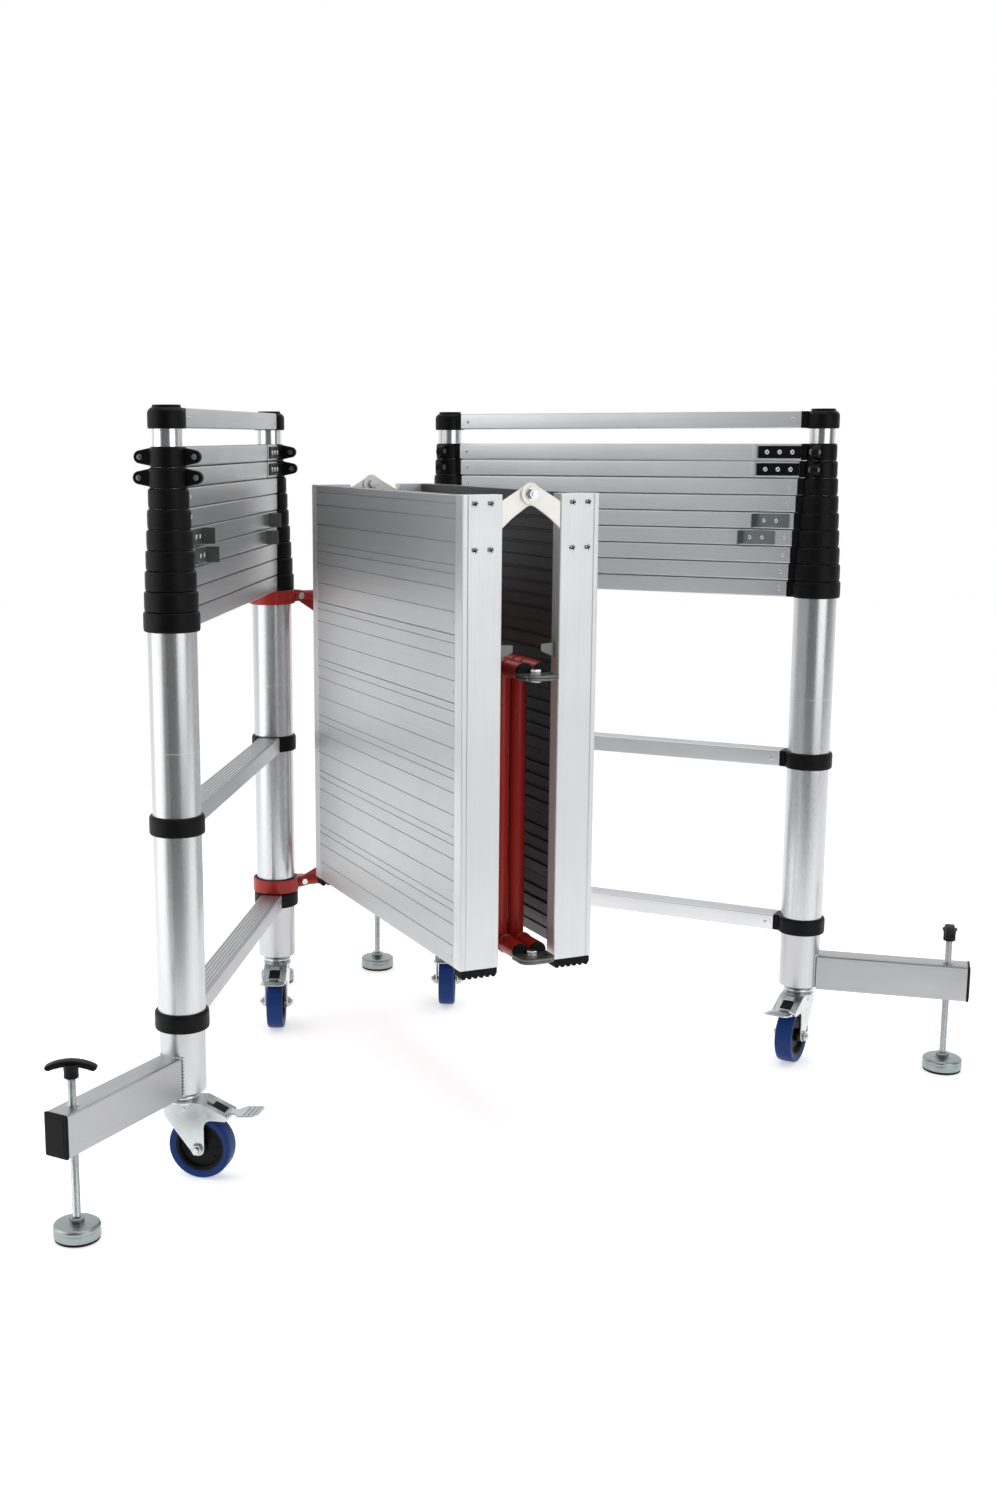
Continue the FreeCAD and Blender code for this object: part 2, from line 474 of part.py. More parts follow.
def deck_half(side):
    """A deck half, hanging from the hinge: planks, rails, knee plates, and feet with hangers."""
    name = f"deck_{side}"
    left = side == "left"
    inner = "(deck_centre - deck_gap / 2)" if left else "(deck_centre + deck_gap / 2)"
    low_x = f"({inner} - deck_depth)" if left else inner
    skin_x = low_x if left else f"({low_x} + deck_depth - plank_depth)"
    ends = (("near", "deck_near"), ("far", "deck_near + deck_width - rail_thickness"))
    pitch = f"(deck_length / {PLANKS})"
    planks = [hollow(f"{name}_plank_{i}", "plank_depth", "deck_width - 2 * rail_thickness - 2 * plank_gap",
                     f"{pitch} - plank_gap", "plank_wall", skin_x, "deck_near + rail_thickness + plank_gap",
                     f"deck_bottom + {i} * {pitch} + plank_gap / 2", along="y") for i in range(PLANKS)]
    node(f"{name}_planks", planks)
    rails = [hollow(f"{name}_{end}_rail", "deck_depth", "rail_thickness", "deck_length", "rail_wall",
                    low_x, y, "deck_bottom", along="z") for end, y in ends]
    node(f"{name}_rails", rails)
    sign = "-" if left else ""
    reach = f"{sign}(deck_gap / 2)"
    nose = "knee_radius - knee_chamfer"
    outline = [(reach, f"{HINGE_Z} - knee_drop"), (reach, f"{HINGE_Z} - knee_shoulder"),
               (f"{sign}({nose})", f"{HINGE_Z} + {nose}"), (f"{sign}knee_chamfer", f"{HINGE_Z} + knee_radius"),
               (f"-({sign}({nose}))", f"{HINGE_Z} + knee_radius / 2"),
               (f"-({sign}({nose}))", f"{HINGE_Z} - knee_radius / 2"),
               (f"{sign}(knee_chamfer / 2)", f"{HINGE_Z} - knee_radius")]
    knees = []
    for end, y in ends:
        outer = (end == "near") != left
        inset = "(knee_thickness / 2 + knee_inset)"
        depth = inset if outer else f"({inset} + knee_thickness + plate_play + plate_gap)"
        where = f"{y} + {depth}" if end == "near" else f"{y} + rail_thickness - {depth}"
        blank = plate(f"{name}_{end}_blank", outline, "knee_thickness", x="deck_centre", y=where)
        eye = cylinder(f"{name}_{end}_eye", "hinge_bolt_radius + pin_gap", "rail_thickness", "deck_centre", y,
                       HINGE_Z, along="y")
        knees.append(cut(f"{name}_{end}_knee", blank, eye))
    node(f"{name}_knee_plates", knees)
    fittings = []
    for end, y in ends:
        fittings.append(box(f"{name}_{end}_rubber", "deck_depth - 2 * foot_inset", "rail_thickness",
                            "foot_height", f"{low_x} + foot_inset", y,
                            "deck_bottom - foot_height - sleeve_fit"))
        hook = f"{inner} + sleeve_fit" if left else f"{inner} - sleeve_fit - hanger_width"
        fittings.append(box(f"{name}_{end}_hanger", "hanger_width", "hanger_thickness", "hanger_height", hook,
                            f"{y} + hanger_inset", "brace_high + brace_tube_radius + hanger_lift"))
    node(f"{name}_fittings", fittings)


def hinge_bolts():
    """The two bolts of the deck's hinge, one at each rail end."""
    bolts = []
    far_end = "deck_near + deck_width"
    for end, start, head in (("near", "deck_near - hinge_proud", "deck_near - hinge_head_gap - hinge_head"),
                             ("far", f"{far_end} + hinge_proud - hinge_shank", f"{far_end} + hinge_head_gap")):
        shank = cylinder(f"hinge_{end}_shank", "hinge_bolt_radius", "hinge_shank", "deck_centre", start,
                         HINGE_Z, along="y")
        knob = cylinder(f"hinge_{end}_head", "hinge_bolt_radius + hinge_head_rim", "hinge_head", "deck_centre",
                        head, HINGE_Z, along="y")
        bolts.append(fuse(f"hinge_{end}_bolt", [shank, knob]))
    node("deck_hinge_bolts", bolts)


for side in SIDES:
    fixed_part(side)
    for level in range(1, SECTIONS + 1):
        section(side, level)
    for post, _ in POSTS:
        leg(side, post)
        jack(side, post)
        caster(side, post)
    leaf(side)
pivot_bolts()
for side in SIDES:
    deck_half(side)
hinge_bolts()

doc.removeObject("probe")
doc.recompute()
faults = [item.Name for item in doc.Objects if {"Invalid", "Error"} & set(item.State)]
if faults:
    raise SystemExit("failed objects: " + ", ".join(faults))
for item in NODES:
    if item.Shape.isNull() or not item.Shape.isValid():
        raise SystemExit("bad shape: " + item.Label)
os.makedirs("parts", exist_ok=True)
for item in NODES:
    item.Shape.exportStep(f"parts/{item.Label}.step")
print(len(NODES), "nodes written")
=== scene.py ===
import json
import math

import bpy
from mathutils import Matrix, Vector


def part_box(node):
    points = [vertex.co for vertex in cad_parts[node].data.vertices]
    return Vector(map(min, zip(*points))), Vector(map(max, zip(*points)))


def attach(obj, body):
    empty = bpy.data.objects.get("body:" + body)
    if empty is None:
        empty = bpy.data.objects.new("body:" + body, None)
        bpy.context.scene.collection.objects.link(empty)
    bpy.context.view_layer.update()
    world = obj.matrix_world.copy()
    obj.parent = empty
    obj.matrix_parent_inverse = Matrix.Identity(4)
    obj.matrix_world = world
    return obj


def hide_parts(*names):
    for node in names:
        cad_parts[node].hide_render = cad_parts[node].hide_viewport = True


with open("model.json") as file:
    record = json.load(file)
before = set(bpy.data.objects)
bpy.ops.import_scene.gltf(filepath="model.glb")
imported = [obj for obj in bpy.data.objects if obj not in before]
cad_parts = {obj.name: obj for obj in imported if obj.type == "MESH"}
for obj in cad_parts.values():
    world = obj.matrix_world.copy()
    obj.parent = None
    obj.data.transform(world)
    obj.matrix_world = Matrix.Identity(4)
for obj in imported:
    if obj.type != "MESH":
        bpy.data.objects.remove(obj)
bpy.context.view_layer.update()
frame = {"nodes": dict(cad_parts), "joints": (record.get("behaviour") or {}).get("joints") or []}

MM = 0.001
JOINTS = {joint["name"]: joint for joint in frame["joints"]}

# sizes of the tower's own pieces, in millimetres
POST_R, TUBE_STEP, TUBE_WALL, TUBE_LENGTH = 36.0, 1.6, 1.3, 400.0
COLLAR_R, COLLAR_STEP, COLLAR_H, COLLAR_PITCH, COLLAR_CLOSE = 41.25, 1.95, 28.6, 29.2, 0.45
CAP_R, CAP_BORE, CAP_LIFT, CAP_H = 27.5, 21.7, 24.3, 27.5
RUNG_W, RUNG_H, BOSS_REACH, BOSS_W, BOSS_ROUND = 40.0, 28.4, 5.05, 36.0, 2.2
LOW_COLLAR, RUNG_PITCH = 236.0, 300.0
STACK = LOW_COLLAR + 2 * RUNG_PITCH
SECTIONS = 9
LEG_R, LEG_BORE, LEG_LOW, LEG_HIGH = 34.4, 31.8, 138.0, 400.0
ARM_HALF, ARM_LOW, ARM_HIGH, ARM_START, ARM_RUN = 20.0, 134.0, 198.0, 31.0, 257.0
SCREW_REACH, SCREW_R = 255.0, 6.0
WHEEL_R, WHEEL_TRAIL, CHEEK_IN, CHEEK_T, CHEEK_TIP = 50.0, 28.0, 19.0, 3.0, 11.0
BRACE_R, BRACE_X, BRACE_NEAR, BRACE_FAR = 14.0, 15.0, 12.0, 6.0
RAIL_LOW, RAIL_HIGH, CLAMP_LOW, CLAMP_HIGH = 317.0, 760.0, 277.6, 822.95
BAND_IN, BAND_R, BAND_HALF = 40.3, 43.0, 12.5
PLATE_T, PLATE_DROP, PLATE_LIFT = 4.0, 10.0, 4.4
RAIL_T, PLANK_DEPTH, PLANKS = 25.0, 24.0, 7
KNEE_R, KNEE_T, KNEE_REACH, KNEE_DROP = 17.0, 4.0, 48.5, 52.0


# ---------------------------------------------------------------- modelling by hand

def object_mode():
    if bpy.context.object and bpy.context.object.mode != "OBJECT":
        bpy.ops.object.mode_set(mode="OBJECT")


def clear():
    object_mode()
    bpy.ops.object.select_all(action="DESELECT")


def pick(piece):
    clear()
    piece.select_set(True)
    bpy.context.view_layer.objects.active = piece
    return piece


def smooth(piece, angle=32):
    pick(piece)
    bpy.ops.object.shade_smooth_by_angle(angle=math.radians(angle))
    return piece


def soften(piece, radius, segments=2, angle=35):
    """Rounds the sharp edges of a piece."""
    pick(piece)
    bevel = piece.modifiers.new("rounding", "BEVEL")
    bevel.width, bevel.segments = radius * MM, segments
    bevel.limit_method, bevel.angle_limit = "ANGLE", math.radians(angle)
    bpy.ops.object.modifier_apply(modifier=bevel.name)
    return smooth(piece)


def block(size, centre, radius=1.0, segments=2):
    """A rounded bar or plate, by its size and centre."""
    clear()
    bpy.ops.mesh.primitive_cube_add(size=1, location=Vector(centre) * MM)
    piece = bpy.context.object
    piece.scale = Vector(size) * MM
    bpy.ops.object.transform_apply(location=True, rotation=False, scale=True)
    return soften(piece, radius, segments)


def draw(points, closed):
    """Draws an outline vertex by vertex, and leaves it in edit mode."""
    clear()
    places = [Vector(p) * MM for p in points]
    bpy.ops.mesh.primitive_plane_add(size=0.01)
    bpy.ops.object.mode_set(mode="EDIT")
    bpy.ops.mesh.merge(type="CENTER")
    bpy.ops.transform.translate(value=places[0])
    ring = places + places[:1] if closed else places
    for start, end in zip(ring, ring[1:]):
        bpy.ops.mesh.extrude_vertices_move(TRANSFORM_OT_translate={"value": end - start})
    bpy.ops.mesh.select_all(action="SELECT")
    bpy.ops.mesh.remove_doubles(threshold=1e-6)


def turned(outline, steps=48, closed=False, at=(0, 0, 0), along="z"):
    """A lathe piece: (radius, height) points spun about an axis through a point."""
    draw([(radius, 0, height) for radius, height in outline], closed)
    bpy.ops.mesh.spin(steps=steps, angle=2 * math.pi, center=(0, 0, 0), axis=(0, 0, 1))
    bpy.ops.mesh.select_all(action="SELECT")
    bpy.ops.mesh.remove_doubles(threshold=1e-6)
    bpy.ops.mesh.normals_make_consistent(inside=False)
    object_mode()
    turn = {"z": Matrix(), "x": Matrix.Rotation(math.pi / 2, 4, "Y"),
            "y": Matrix.Rotation(-math.pi / 2, 4, "X")}[along]
    return smooth(settle(bpy.context.object, Matrix.Translation(Vector(at) * MM) @ turn), 40)


def slab(points, thickness, radius=0.6, segments=2):
    """A flat shape: a closed outline, pushed out along one direction by a vector."""
    draw(points, True)
    bpy.ops.mesh.edge_face_add()
    bpy.ops.mesh.extrude_region_move(TRANSFORM_OT_translate={"value": Vector(thickness) * MM})
    bpy.ops.mesh.select_all(action="SELECT")
    bpy.ops.mesh.normals_make_consistent(inside=False)
    object_mode()
    if not radius:
        return smooth(bpy.context.object)
    return soften(bpy.context.object, radius, segments)


def bar(start, end, radius, steps=28, edge=0.8):
    """A round bar between two points, with softened ends."""
    a, b = Vector(start), Vector(end)
    run = (b - a).length
    piece = turned([(0, 0), (radius - edge, 0), (radius, edge), (radius, run - edge),
                    (radius - edge, run), (0, run)], steps)
    return settle(piece, Matrix.Translation(a * MM) @ (b - a).to_track_quat("Z", "Y").to_matrix().to_4x4())


def tube(radius, bore, low, high, at=(0, 0), steps=56):
    """An upright tube with softened rims."""
    rim = min(0.5, (radius - bore) / 3)
    return turned([(bore, low), (radius - rim, low), (radius, low + rim), (radius, high - rim),
                   (radius - rim, high), (bore, high)], steps, closed=True, at=(at[0], at[1], 0))


def hexagon(across, height, at=(0, 0, 0), along="z"):
    """A hexagon nut or bolt head with its chamfered corners."""
    r = across / math.sqrt(3)
    return turned([(0, 0), (r * 0.93, 0), (r, height * 0.14), (r, height * 0.86), (r * 0.93, height),
                   (0, height)], 6, at=at, along=along)


def dome(radius, height, at=(0, 0, 0), along="z", steps=20):
    """A rivet or pan head, with its back at the point."""
    edge = [(radius * math.cos(t), height * math.sin(t)) for t in (0, 0.5, 0.95, 1.3)]
    return turned([(0, -0.4), (radius, -0.4)] + edge + [(0, height)], steps, at=at, along=along)


def settle(piece, place):
    """Puts a piece at a place and keeps that place in its mesh."""
    pick(piece)
    piece.matrix_world = place @ piece.matrix_world
    bpy.ops.object.transform_apply(location=True, rotation=True, scale=True)
    return piece


def facing(piece, place):
    """Settles a piece that a mirror turned inside out."""
    settle(piece, place)
    if place.determinant() < 0:
        pick(piece)
        bpy.ops.object.mode_set(mode="EDIT")
        bpy.ops.mesh.select_all(action="SELECT")
        bpy.ops.mesh.flip_normals()
        object_mode()
    return piece


def again(piece, place=Matrix()):
    """Another copy of a piece, with its own mesh."""
    copy = piece.copy()
    copy.data = piece.data.copy()
    bpy.context.collection.objects.link(copy)
    return facing(copy, place)


def joined(pieces):
    clear()
    for piece in pieces:
        piece.select_set(True)
    bpy.context.view_layer.objects.active = pieces[0]
    if len(pieces) > 1:
        bpy.ops.object.join()
    return bpy.context.object


def keep(piece, name, body, finish, nodes=()):
    """Evens out a finished piece's shading, names it, gives it its finish and lets it ride on its body."""
    pick(piece)
    even = piece.modifiers.new("even shading", "WEIGHTED_NORMAL")
    even.keep_sharp = True
    bpy.ops.object.modifier_apply(modifier=even.name)
    piece.name = name
    piece.data.name = name
    piece.data.materials.clear()
    piece.data.materials.append(finish)
    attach(piece, body)
    if nodes:
        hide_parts(*nodes)
    return piece


def shift(x=0, y=0, z=0):
    return Matrix.Translation(Vector((x, y, z)) * MM)


# ---------------------------------------------------------------- finishes

def group(name, inputs, outputs):
    tree = bpy.data.node_groups.new(name, "ShaderNodeTree")
    for label, kind, value in inputs:
        socket = tree.interface.new_socket(label, in_out="INPUT", socket_type=kind)
        socket.default_value = value
    for label, kind in outputs:
        tree.interface.new_socket(label, in_out="OUTPUT", socket_type=kind)
    return tree, tree.nodes.new("NodeGroupInput"), tree.nodes.new("NodeGroupOutput")


def mixed(tree, factor, first, second):
    mix = tree.nodes.new("ShaderNodeMix")
    mix.data_type = "RGBA"
    for socket, source in ((mix.inputs[0], factor), (mix.inputs[6], first), (mix.inputs[7], second)):
        if isinstance(source, bpy.types.NodeSocket):
            tree.links.new(source, socket)
        else:
            socket.default_value = source
    return mix.outputs[2]


def ranged(tree, source, low, high, start=0.3, stop=0.7):
    span = tree.nodes.new("ShaderNodeMapRange")
    tree.links.new(source, span.inputs["Value"])
    span.inputs["From Min"].default_value = start
    span.inputs["From Max"].default_value = stop
    for label, source in (("To Min", low), ("To Max", high)):
        if isinstance(source, bpy.types.NodeSocket):
            tree.links.new(source, span.inputs[label])
        else:
            span.inputs[label].default_value = source
    return span.outputs["Result"]


def shade(r, g, b):
    return (r, g, b, 1.0)


def make_grain():
    """Drawn lines of an extrusion, the soft cloudiness of handled metal, and painted shade that turns the
    colour near black beyond a span along X.
    """
    tree, given, made = group(
        "drawn grain",
        [("Place", "NodeSocketVector", (0, 0, 0)), ("Stretch", "NodeSocketVector", (900, 900, 6)),
         ("Light", "NodeSocketColor", (0.7, 0.7, 0.7, 1)), ("Dark", "NodeSocketColor", (0.6, 0.6, 0.6, 1)),
         ("Smooth", "NodeSocketFloat", 0.28), ("Rough", "NodeSocketFloat", 0.42),
         ("Inside", "NodeSocketVector", (9000, 9001, 0))],
        [("Color", "NodeSocketColor"), ("Roughness", "NodeSocketFloat"), ("Height", "NodeSocketFloat")])
    new, link = tree.nodes.new, tree.links.new
    stretch = new("ShaderNodeVectorMath")
    stretch.operation = "MULTIPLY"
    link(given.outputs["Place"], stretch.inputs[0])
    link(given.outputs["Stretch"], stretch.inputs[1])
    lines = new("ShaderNodeTexNoise")
    lines.inputs["Scale"].default_value = 1.0
    lines.inputs["Detail"].default_value = 3.0
    link(stretch.outputs[0], lines.inputs["Vector"])
    clouds = new("ShaderNodeTexNoise")
    clouds.inputs["Scale"].default_value = 9.0
    clouds.inputs["Detail"].default_value = 6.0
    clouds.inputs["Roughness"].default_value = 0.65
    link(given.outputs["Place"], clouds.inputs["Vector"])
    both = new("ShaderNodeMath")
    both.operation = "MULTIPLY_ADD"
    link(lines.outputs["Fac"], both.inputs[0])
    both.inputs[1].default_value = 0.55
    scaled = new("ShaderNodeMath")
    scaled.operation = "MULTIPLY"
    link(clouds.outputs["Fac"], scaled.inputs[0])
    scaled.inputs[1].default_value = 0.45
    link(scaled.outputs[0], both.inputs[2])
    tint = mixed(tree, ranged(tree, both.outputs[0], 0.0, 1.0), given.outputs["Dark"], given.outputs["Light"])
    # painted shade: beyond the span given along X the colour fades to near black, standing for the shade on a
    # piece's inner side
    across, limits = new("ShaderNodeSeparateXYZ"), new("ShaderNodeSeparateXYZ")
    link(given.outputs["Place"], across.inputs[0])
    link(given.outputs["Inside"], limits.inputs[0])
    inner = ranged(tree, across.outputs["X"], 0.0, 1.0)
    for label, socket in (("From Min", "X"), ("From Max", "Y")):
        link(limits.outputs[socket], inner.node.inputs[label])
    link(mixed(tree, inner, tint, shade(0.09, 0.092, 0.096)), made.inputs["Color"])
    worn = ranged(tree, both.outputs[0], given.outputs["Rough"], given.outputs["Smooth"])
    link(worn, made.inputs["Roughness"])
    link(lines.outputs["Fac"], made.inputs["Height"])
    return tree


def make_speckle():
    """Fine moulded or plated texture with scattered scuffs."""
    tree, given, made = group(
        "fine speckle",
        [("Place", "NodeSocketVector", (0, 0, 0)), ("Scale", "NodeSocketFloat", 600.0),
         ("Base", "NodeSocketColor", (0.03, 0.03, 0.03, 1)),
         ("Scuff", "NodeSocketColor", (0.08, 0.08, 0.08, 1)),
         ("Scuffed", "NodeSocketFloat", 0.35), ("Smooth", "NodeSocketFloat", 0.35),
         ("Rough", "NodeSocketFloat", 0.6)],
        [("Color", "NodeSocketColor"), ("Roughness", "NodeSocketFloat"), ("Height", "NodeSocketFloat")])
    new, link = tree.nodes.new, tree.links.new
    fine = new("ShaderNodeTexNoise")
    fine.inputs["Detail"].default_value = 2.0
    link(given.outputs["Place"], fine.inputs["Vector"])
    link(given.outputs["Scale"], fine.inputs["Scale"])
    patches = new("ShaderNodeTexNoise")
    patches.inputs["Scale"].default_value = 28.0
    patches.inputs["Detail"].default_value = 8.0
    patches.inputs["Roughness"].default_value = 0.7
    link(given.outputs["Place"], patches.inputs["Vector"])
    mask = ranged(tree, patches.outputs["Fac"], 0.0, given.outputs["Scuffed"], 0.48, 0.72)
    link(mixed(tree, mask, given.outputs["Base"], given.outputs["Scuff"]), made.inputs["Color"])
    link(ranged(tree, patches.outputs["Fac"], given.outputs["Smooth"], given.outputs["Rough"]),
         made.inputs["Roughness"])
    link(fine.outputs["Fac"], made.inputs["Height"])
    return tree


GRAIN, SPECKLE = make_grain(), make_speckle()


def finish_of(name, tree, values, bump, distance, turn=0.0, **shader):
    """A material: one of the shared groups, read from object coordinates, into a Principled BSDF."""
    material = bpy.data.materials.new(name)
    material.use_nodes = True
    nodes, link = material.node_tree.nodes, material.node_tree.links.new
    principled = nodes["Principled BSDF"]
    place = nodes.new("ShaderNodeTexCoord")
    mapping = nodes.new("ShaderNodeMapping")
    mapping.inputs["Rotation"].default_value = (0, 0, turn)
    link(place.outputs["Object"], mapping.inputs["Vector"])
    effect = nodes.new("ShaderNodeGroup")
    effect.node_tree = tree
    link(mapping.outputs["Vector"], effect.inputs["Place"])
    for label, value in values.items():
        effect.inputs[label].default_value = value
    link(effect.outputs["Color"], principled.inputs["Base Color"])
    link(effect.outputs["Roughness"], principled.inputs["Roughness"])
    relief = nodes.new("ShaderNodeBump")
    relief.inputs["Strength"].default_value = bump
    relief.inputs["Distance"].default_value = distance * MM
    link(effect.outputs["Height"], relief.inputs["Height"])
    link(relief.outputs["Normal"], principled.inputs["Normal"])
    for label, value in shader.items():
        principled.inputs[label.replace("_", " ")].default_value = value
    return material


def aluminium(name, light, stretch, smooth_to=0.3, rough_to=0.42, turn=0.0, metal=0.92, inside=None):
    """A drawn aluminium, with its grain along one direction and, where asked, painted shade that darkens its
    inner side.
    """
    values = {"Stretch": stretch, "Light": shade(light, light * 1.005, light * 1.02),
              "Dark": shade(light * 0.92, light * 0.93, light * 0.945),
              "Smooth": smooth_to, "Rough": rough_to}
    # the inside span paints shade: beyond it the colour turns near black
    if inside:
        values["Inside"] = (*inside, 0)
    return finish_of(name, GRAIN, values, 0.06, 0.03, turn, Metallic=metal)


ALONG_Z, ALONG_Y, ALONG_X = (700, 700, 5), (700, 5, 700), (5, 700, 700)
SIDE = {}
for side in ("left", "right"):
    far = Vector(JOINTS[f"{side}_clamp_turn"]["pos_m"]) * 1000
    near = Vector(JOINTS[f"{side}_near_leg_swivel"]["pos_m"]) * 1000
    run = near - far
    SIDE[side] = {"far": far, "near": near, "angle": math.atan2(run.y, run.x),
                  "span": math.hypot(run.x, run.y)}

POST_METAL = aluminium("satin post aluminium", 0.66, ALONG_Z, 0.24, 0.32)
INNER_METAL = aluminium("bright inner tube aluminium", 0.78, ALONG_Z, 0.16, 0.26)
LEG_METAL = aluminium("leg aluminium", 0.62, ALONG_Z, 0.28, 0.38)
# plank aluminium with painted shade: from 3 to 6 mm in from each deck half's outer skin the colour fades to
# near black, so the plank backs are painted dark as shade
SHADED_PLANK_METAL = {}
for side, sign in (("left", -1), ("right", 1)):
    low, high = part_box(f"deck_{side}_planks")
    skin = low[0] if side == "left" else high[0]
    SHADED_PLANK_METAL[side] = aluminium(f"{side} plank aluminium with painted inner shade", 0.60, ALONG_Y, 0.36, 0.5, metal=0.6,
                                  inside=(skin - sign * 0.003, skin - sign * 0.006))
RAIL_METAL = aluminium("deck rail aluminium", 0.76, ALONG_Z, 0.34, 0.46, metal=0.55)
# painted light and shade: one rung aluminium, made darker on the left frame and lighter on the right for how
# the light falls on each
RUNG_PAINTED_LIGHT_AND_SHADE = {"left": 0.54, "right": 0.84}
RUNG_METAL_LIT_AND_SHADED = {side: aluminium(f"{side} rung aluminium lit and shaded by side", RUNG_PAINTED_LIGHT_AND_SHADE[side], ALONG_X, 0.3, 0.42,
                              -SIDE[side]["angle"]) for side in SIDE}
ARM_METAL = {}


def plastic(name, base, scuff, smooth_to=0.34, rough_to=0.55, scale=900.0, bump=0.25, **shader):
    """A moulded, painted or plated finish: one colour with fine texture and scuffs."""
    return finish_of(name, SPECKLE, {"Scale": scale, "Base": base, "Scuff": scuff, "Smooth": smooth_to,
                                     "Rough": rough_to}, bump, 0.12, **shader)


BLACK = plastic("charcoal moulded plastic", shade(0.0035, 0.0036, 0.0042), shade(0.008, 0.0084, 0.0095),
                Specular_IOR_Level=0.13)
RUBBER = plastic("black rubber", shade(0.006, 0.006, 0.0064), shade(0.012, 0.012, 0.012), 0.6, 0.85,
                 Specular_IOR_Level=0.15)
BLUE = plastic("blue elastic tyre", shade(0.008, 0.034, 0.15), shade(0.012, 0.046, 0.19), 0.34, 0.55, 500.0,
               Specular_IOR_Level=0.16)
HUB = plastic("black wheel hub", shade(0.003, 0.003, 0.0034), shade(0.008, 0.008, 0.008), 0.34, 0.55,
              Specular_IOR_Level=0.15)
RED = plastic("red enamel", shade(0.36, 0.02, 0.014), shade(0.39, 0.024, 0.018), 0.26, 0.34, 160.0, 0.05,
              Specular_IOR_Level=0.25, Coat_Weight=0.12, Coat_Roughness=0.12)
ZINC = plastic("bright zinc plating", shade(0.62, 0.65, 0.655), shade(0.45, 0.47, 0.475), 0.16, 0.32,
               300.0, 0.08, Metallic=1.0)
FOOT_ZINC = plastic("satin zinc plating", shade(0.32, 0.365, 0.355), shade(0.4, 0.44, 0.43), 0.24, 0.4,
                    300.0, 0.08, Metallic=1.0)
# dull zinc darkened as painted shade for the left rung brackets, the brace pivot plates and the deck hanger
# plates; for the ear bolts it is partly their own dark finish and partly painted shade in their recess
DULL_ZINC_AND_PAINTED_SHADE = plastic("dull zinc plating and painted shade", shade(0.16, 0.165, 0.16), shade(0.3, 0.31, 0.3), 0.3, 0.5,
                    300.0, 0.1, Metallic=0.85)
YELLOW_ZINC = plastic("pale yellow zinc plating", shade(0.9, 0.89, 0.84), shade(0.8, 0.79, 0.73), 0.3, 0.45,
                      240.0, 0.08, Metallic=0.35)


# ---------------------------------------------------------------- ladder frames

def tube_r(level):
    return POST_R - level * TUBE_STEP


def collar_r(level):
    return COLLAR_R - COLLAR_STEP * level


def collar_z(level):
    return STACK + level * COLLAR_PITCH


def in_frame(side):
    """The place of a ladder frame: its far post at the origin, its near post along +X."""
    data = SIDE[side]
    return shift(data["far"].x, data["far"].y) @ Matrix.Rotation(data["angle"], 4, "Z")


def at_near(span):
    """From the far post's axes, with +X towards the rung, to the same about the near post."""
    return shift(span) @ Matrix.Rotation(math.pi, 4, "Z")


def collar(level, bottom, ears=False):
    """A moulded collar with a rolled lip, a stepped skirt and the boss that plugs the rung."""
    radius, bore = collar_r(level), tube_r(level) + 0.05
    middle = bottom + COLLAR_H / 2
    top = bottom + COLLAR_H + (COLLAR_CLOSE if STACK <= bottom < collar_z(SECTIONS - 1) else 0)
    ring = turned([(bore, bottom), (radius - 2.2, bottom), (radius - 0.8, bottom + 0.7),
                   (radius - 0.2, bottom + 2.2), (radius - 0.2, bottom + 5.0), (radius, bottom + 5.6),
                   (radius, top - 5.0), (radius - 0.5, top - 2.4), (radius - 2.0, top - 0.6),
                   (radius - 4.2, top), (bore, top)], 64, closed=True)
    parts = [ring, block((11, BOSS_W, COLLAR_H - 0.4), (radius - 0.5, 0, middle), BOSS_ROUND, 3)]
    for sign in (-1, 1):
        dimple = dome(2.1, 0.5, steps=12)
        parts.append(settle(dimple, shift(0, sign * (radius - 0.2), bottom + 3.6)
                            @ Matrix.Rotation(-sign * math.pi / 2, 4, "X")))
        if ears:
            root = radius - 6
            arc = [(-6, sign * (root + 20 + 9.5 * math.cos(t)), middle + 9.5 * math.sin(t))
                   for t in (-1.2, -0.8, -0.4, 0, 0.4, 0.8, 1.2)]
            outline = [(-6, sign * root, middle - 13.8)] + arc + [(-6, sign * root, middle + 13.8)]
            parts.append(slab(outline, (12, 0, 0), 2.4, 3))
    return joined(parts)


def ear_bolts(level, bottom):
    """The bolt heads and nuts in a collar's ears."""
    out, middle, parts = collar_r(level) + 14, bottom + COLLAR_H / 2, []
    for sign in (-1, 1):
        head = settle(dome(4.4, 2.4), Matrix.Rotation(-math.pi / 2, 4, "Y"))
        parts.append(settle(head, shift(-6, sign * out, middle)))
        parts.append(hexagon(8.5, 4.2, (6.1, sign * out, middle), "x"))
    return joined(parts)


def rung_outline(ribs):
    """The section of a rung: rounded corners, and five fine ribs on a step."""
    half, high, r = RUNG_W / 2, RUNG_H, 2.6
    points = [(-half + r, 0), (half - r, 0), (half - 0.8, 0.8), (half, r), (half, high - r),
              (half - 0.8, high - 0.8), (half - r, high)]
    if ribs:
        for i in range(6):
            x = half - 5.4 - i * 5.8
            points += [(x + 1.5, high), (x + 1.1, high - 1.3), (x - 1.1, high - 1.3), (x - 1.5, high)]
    return points + [(-half + r, high), (-half + 0.8, high - 0.8), (-half, high - r), (-half, r),
                     (-half + 0.8, 0.8)]


def rung(span, length, bottom, ribs):
    start = (span - length) / 2
    return slab([(start, y, bottom + z) for y, z in rung_outline(ribs)], (length, 0, 0), 0)


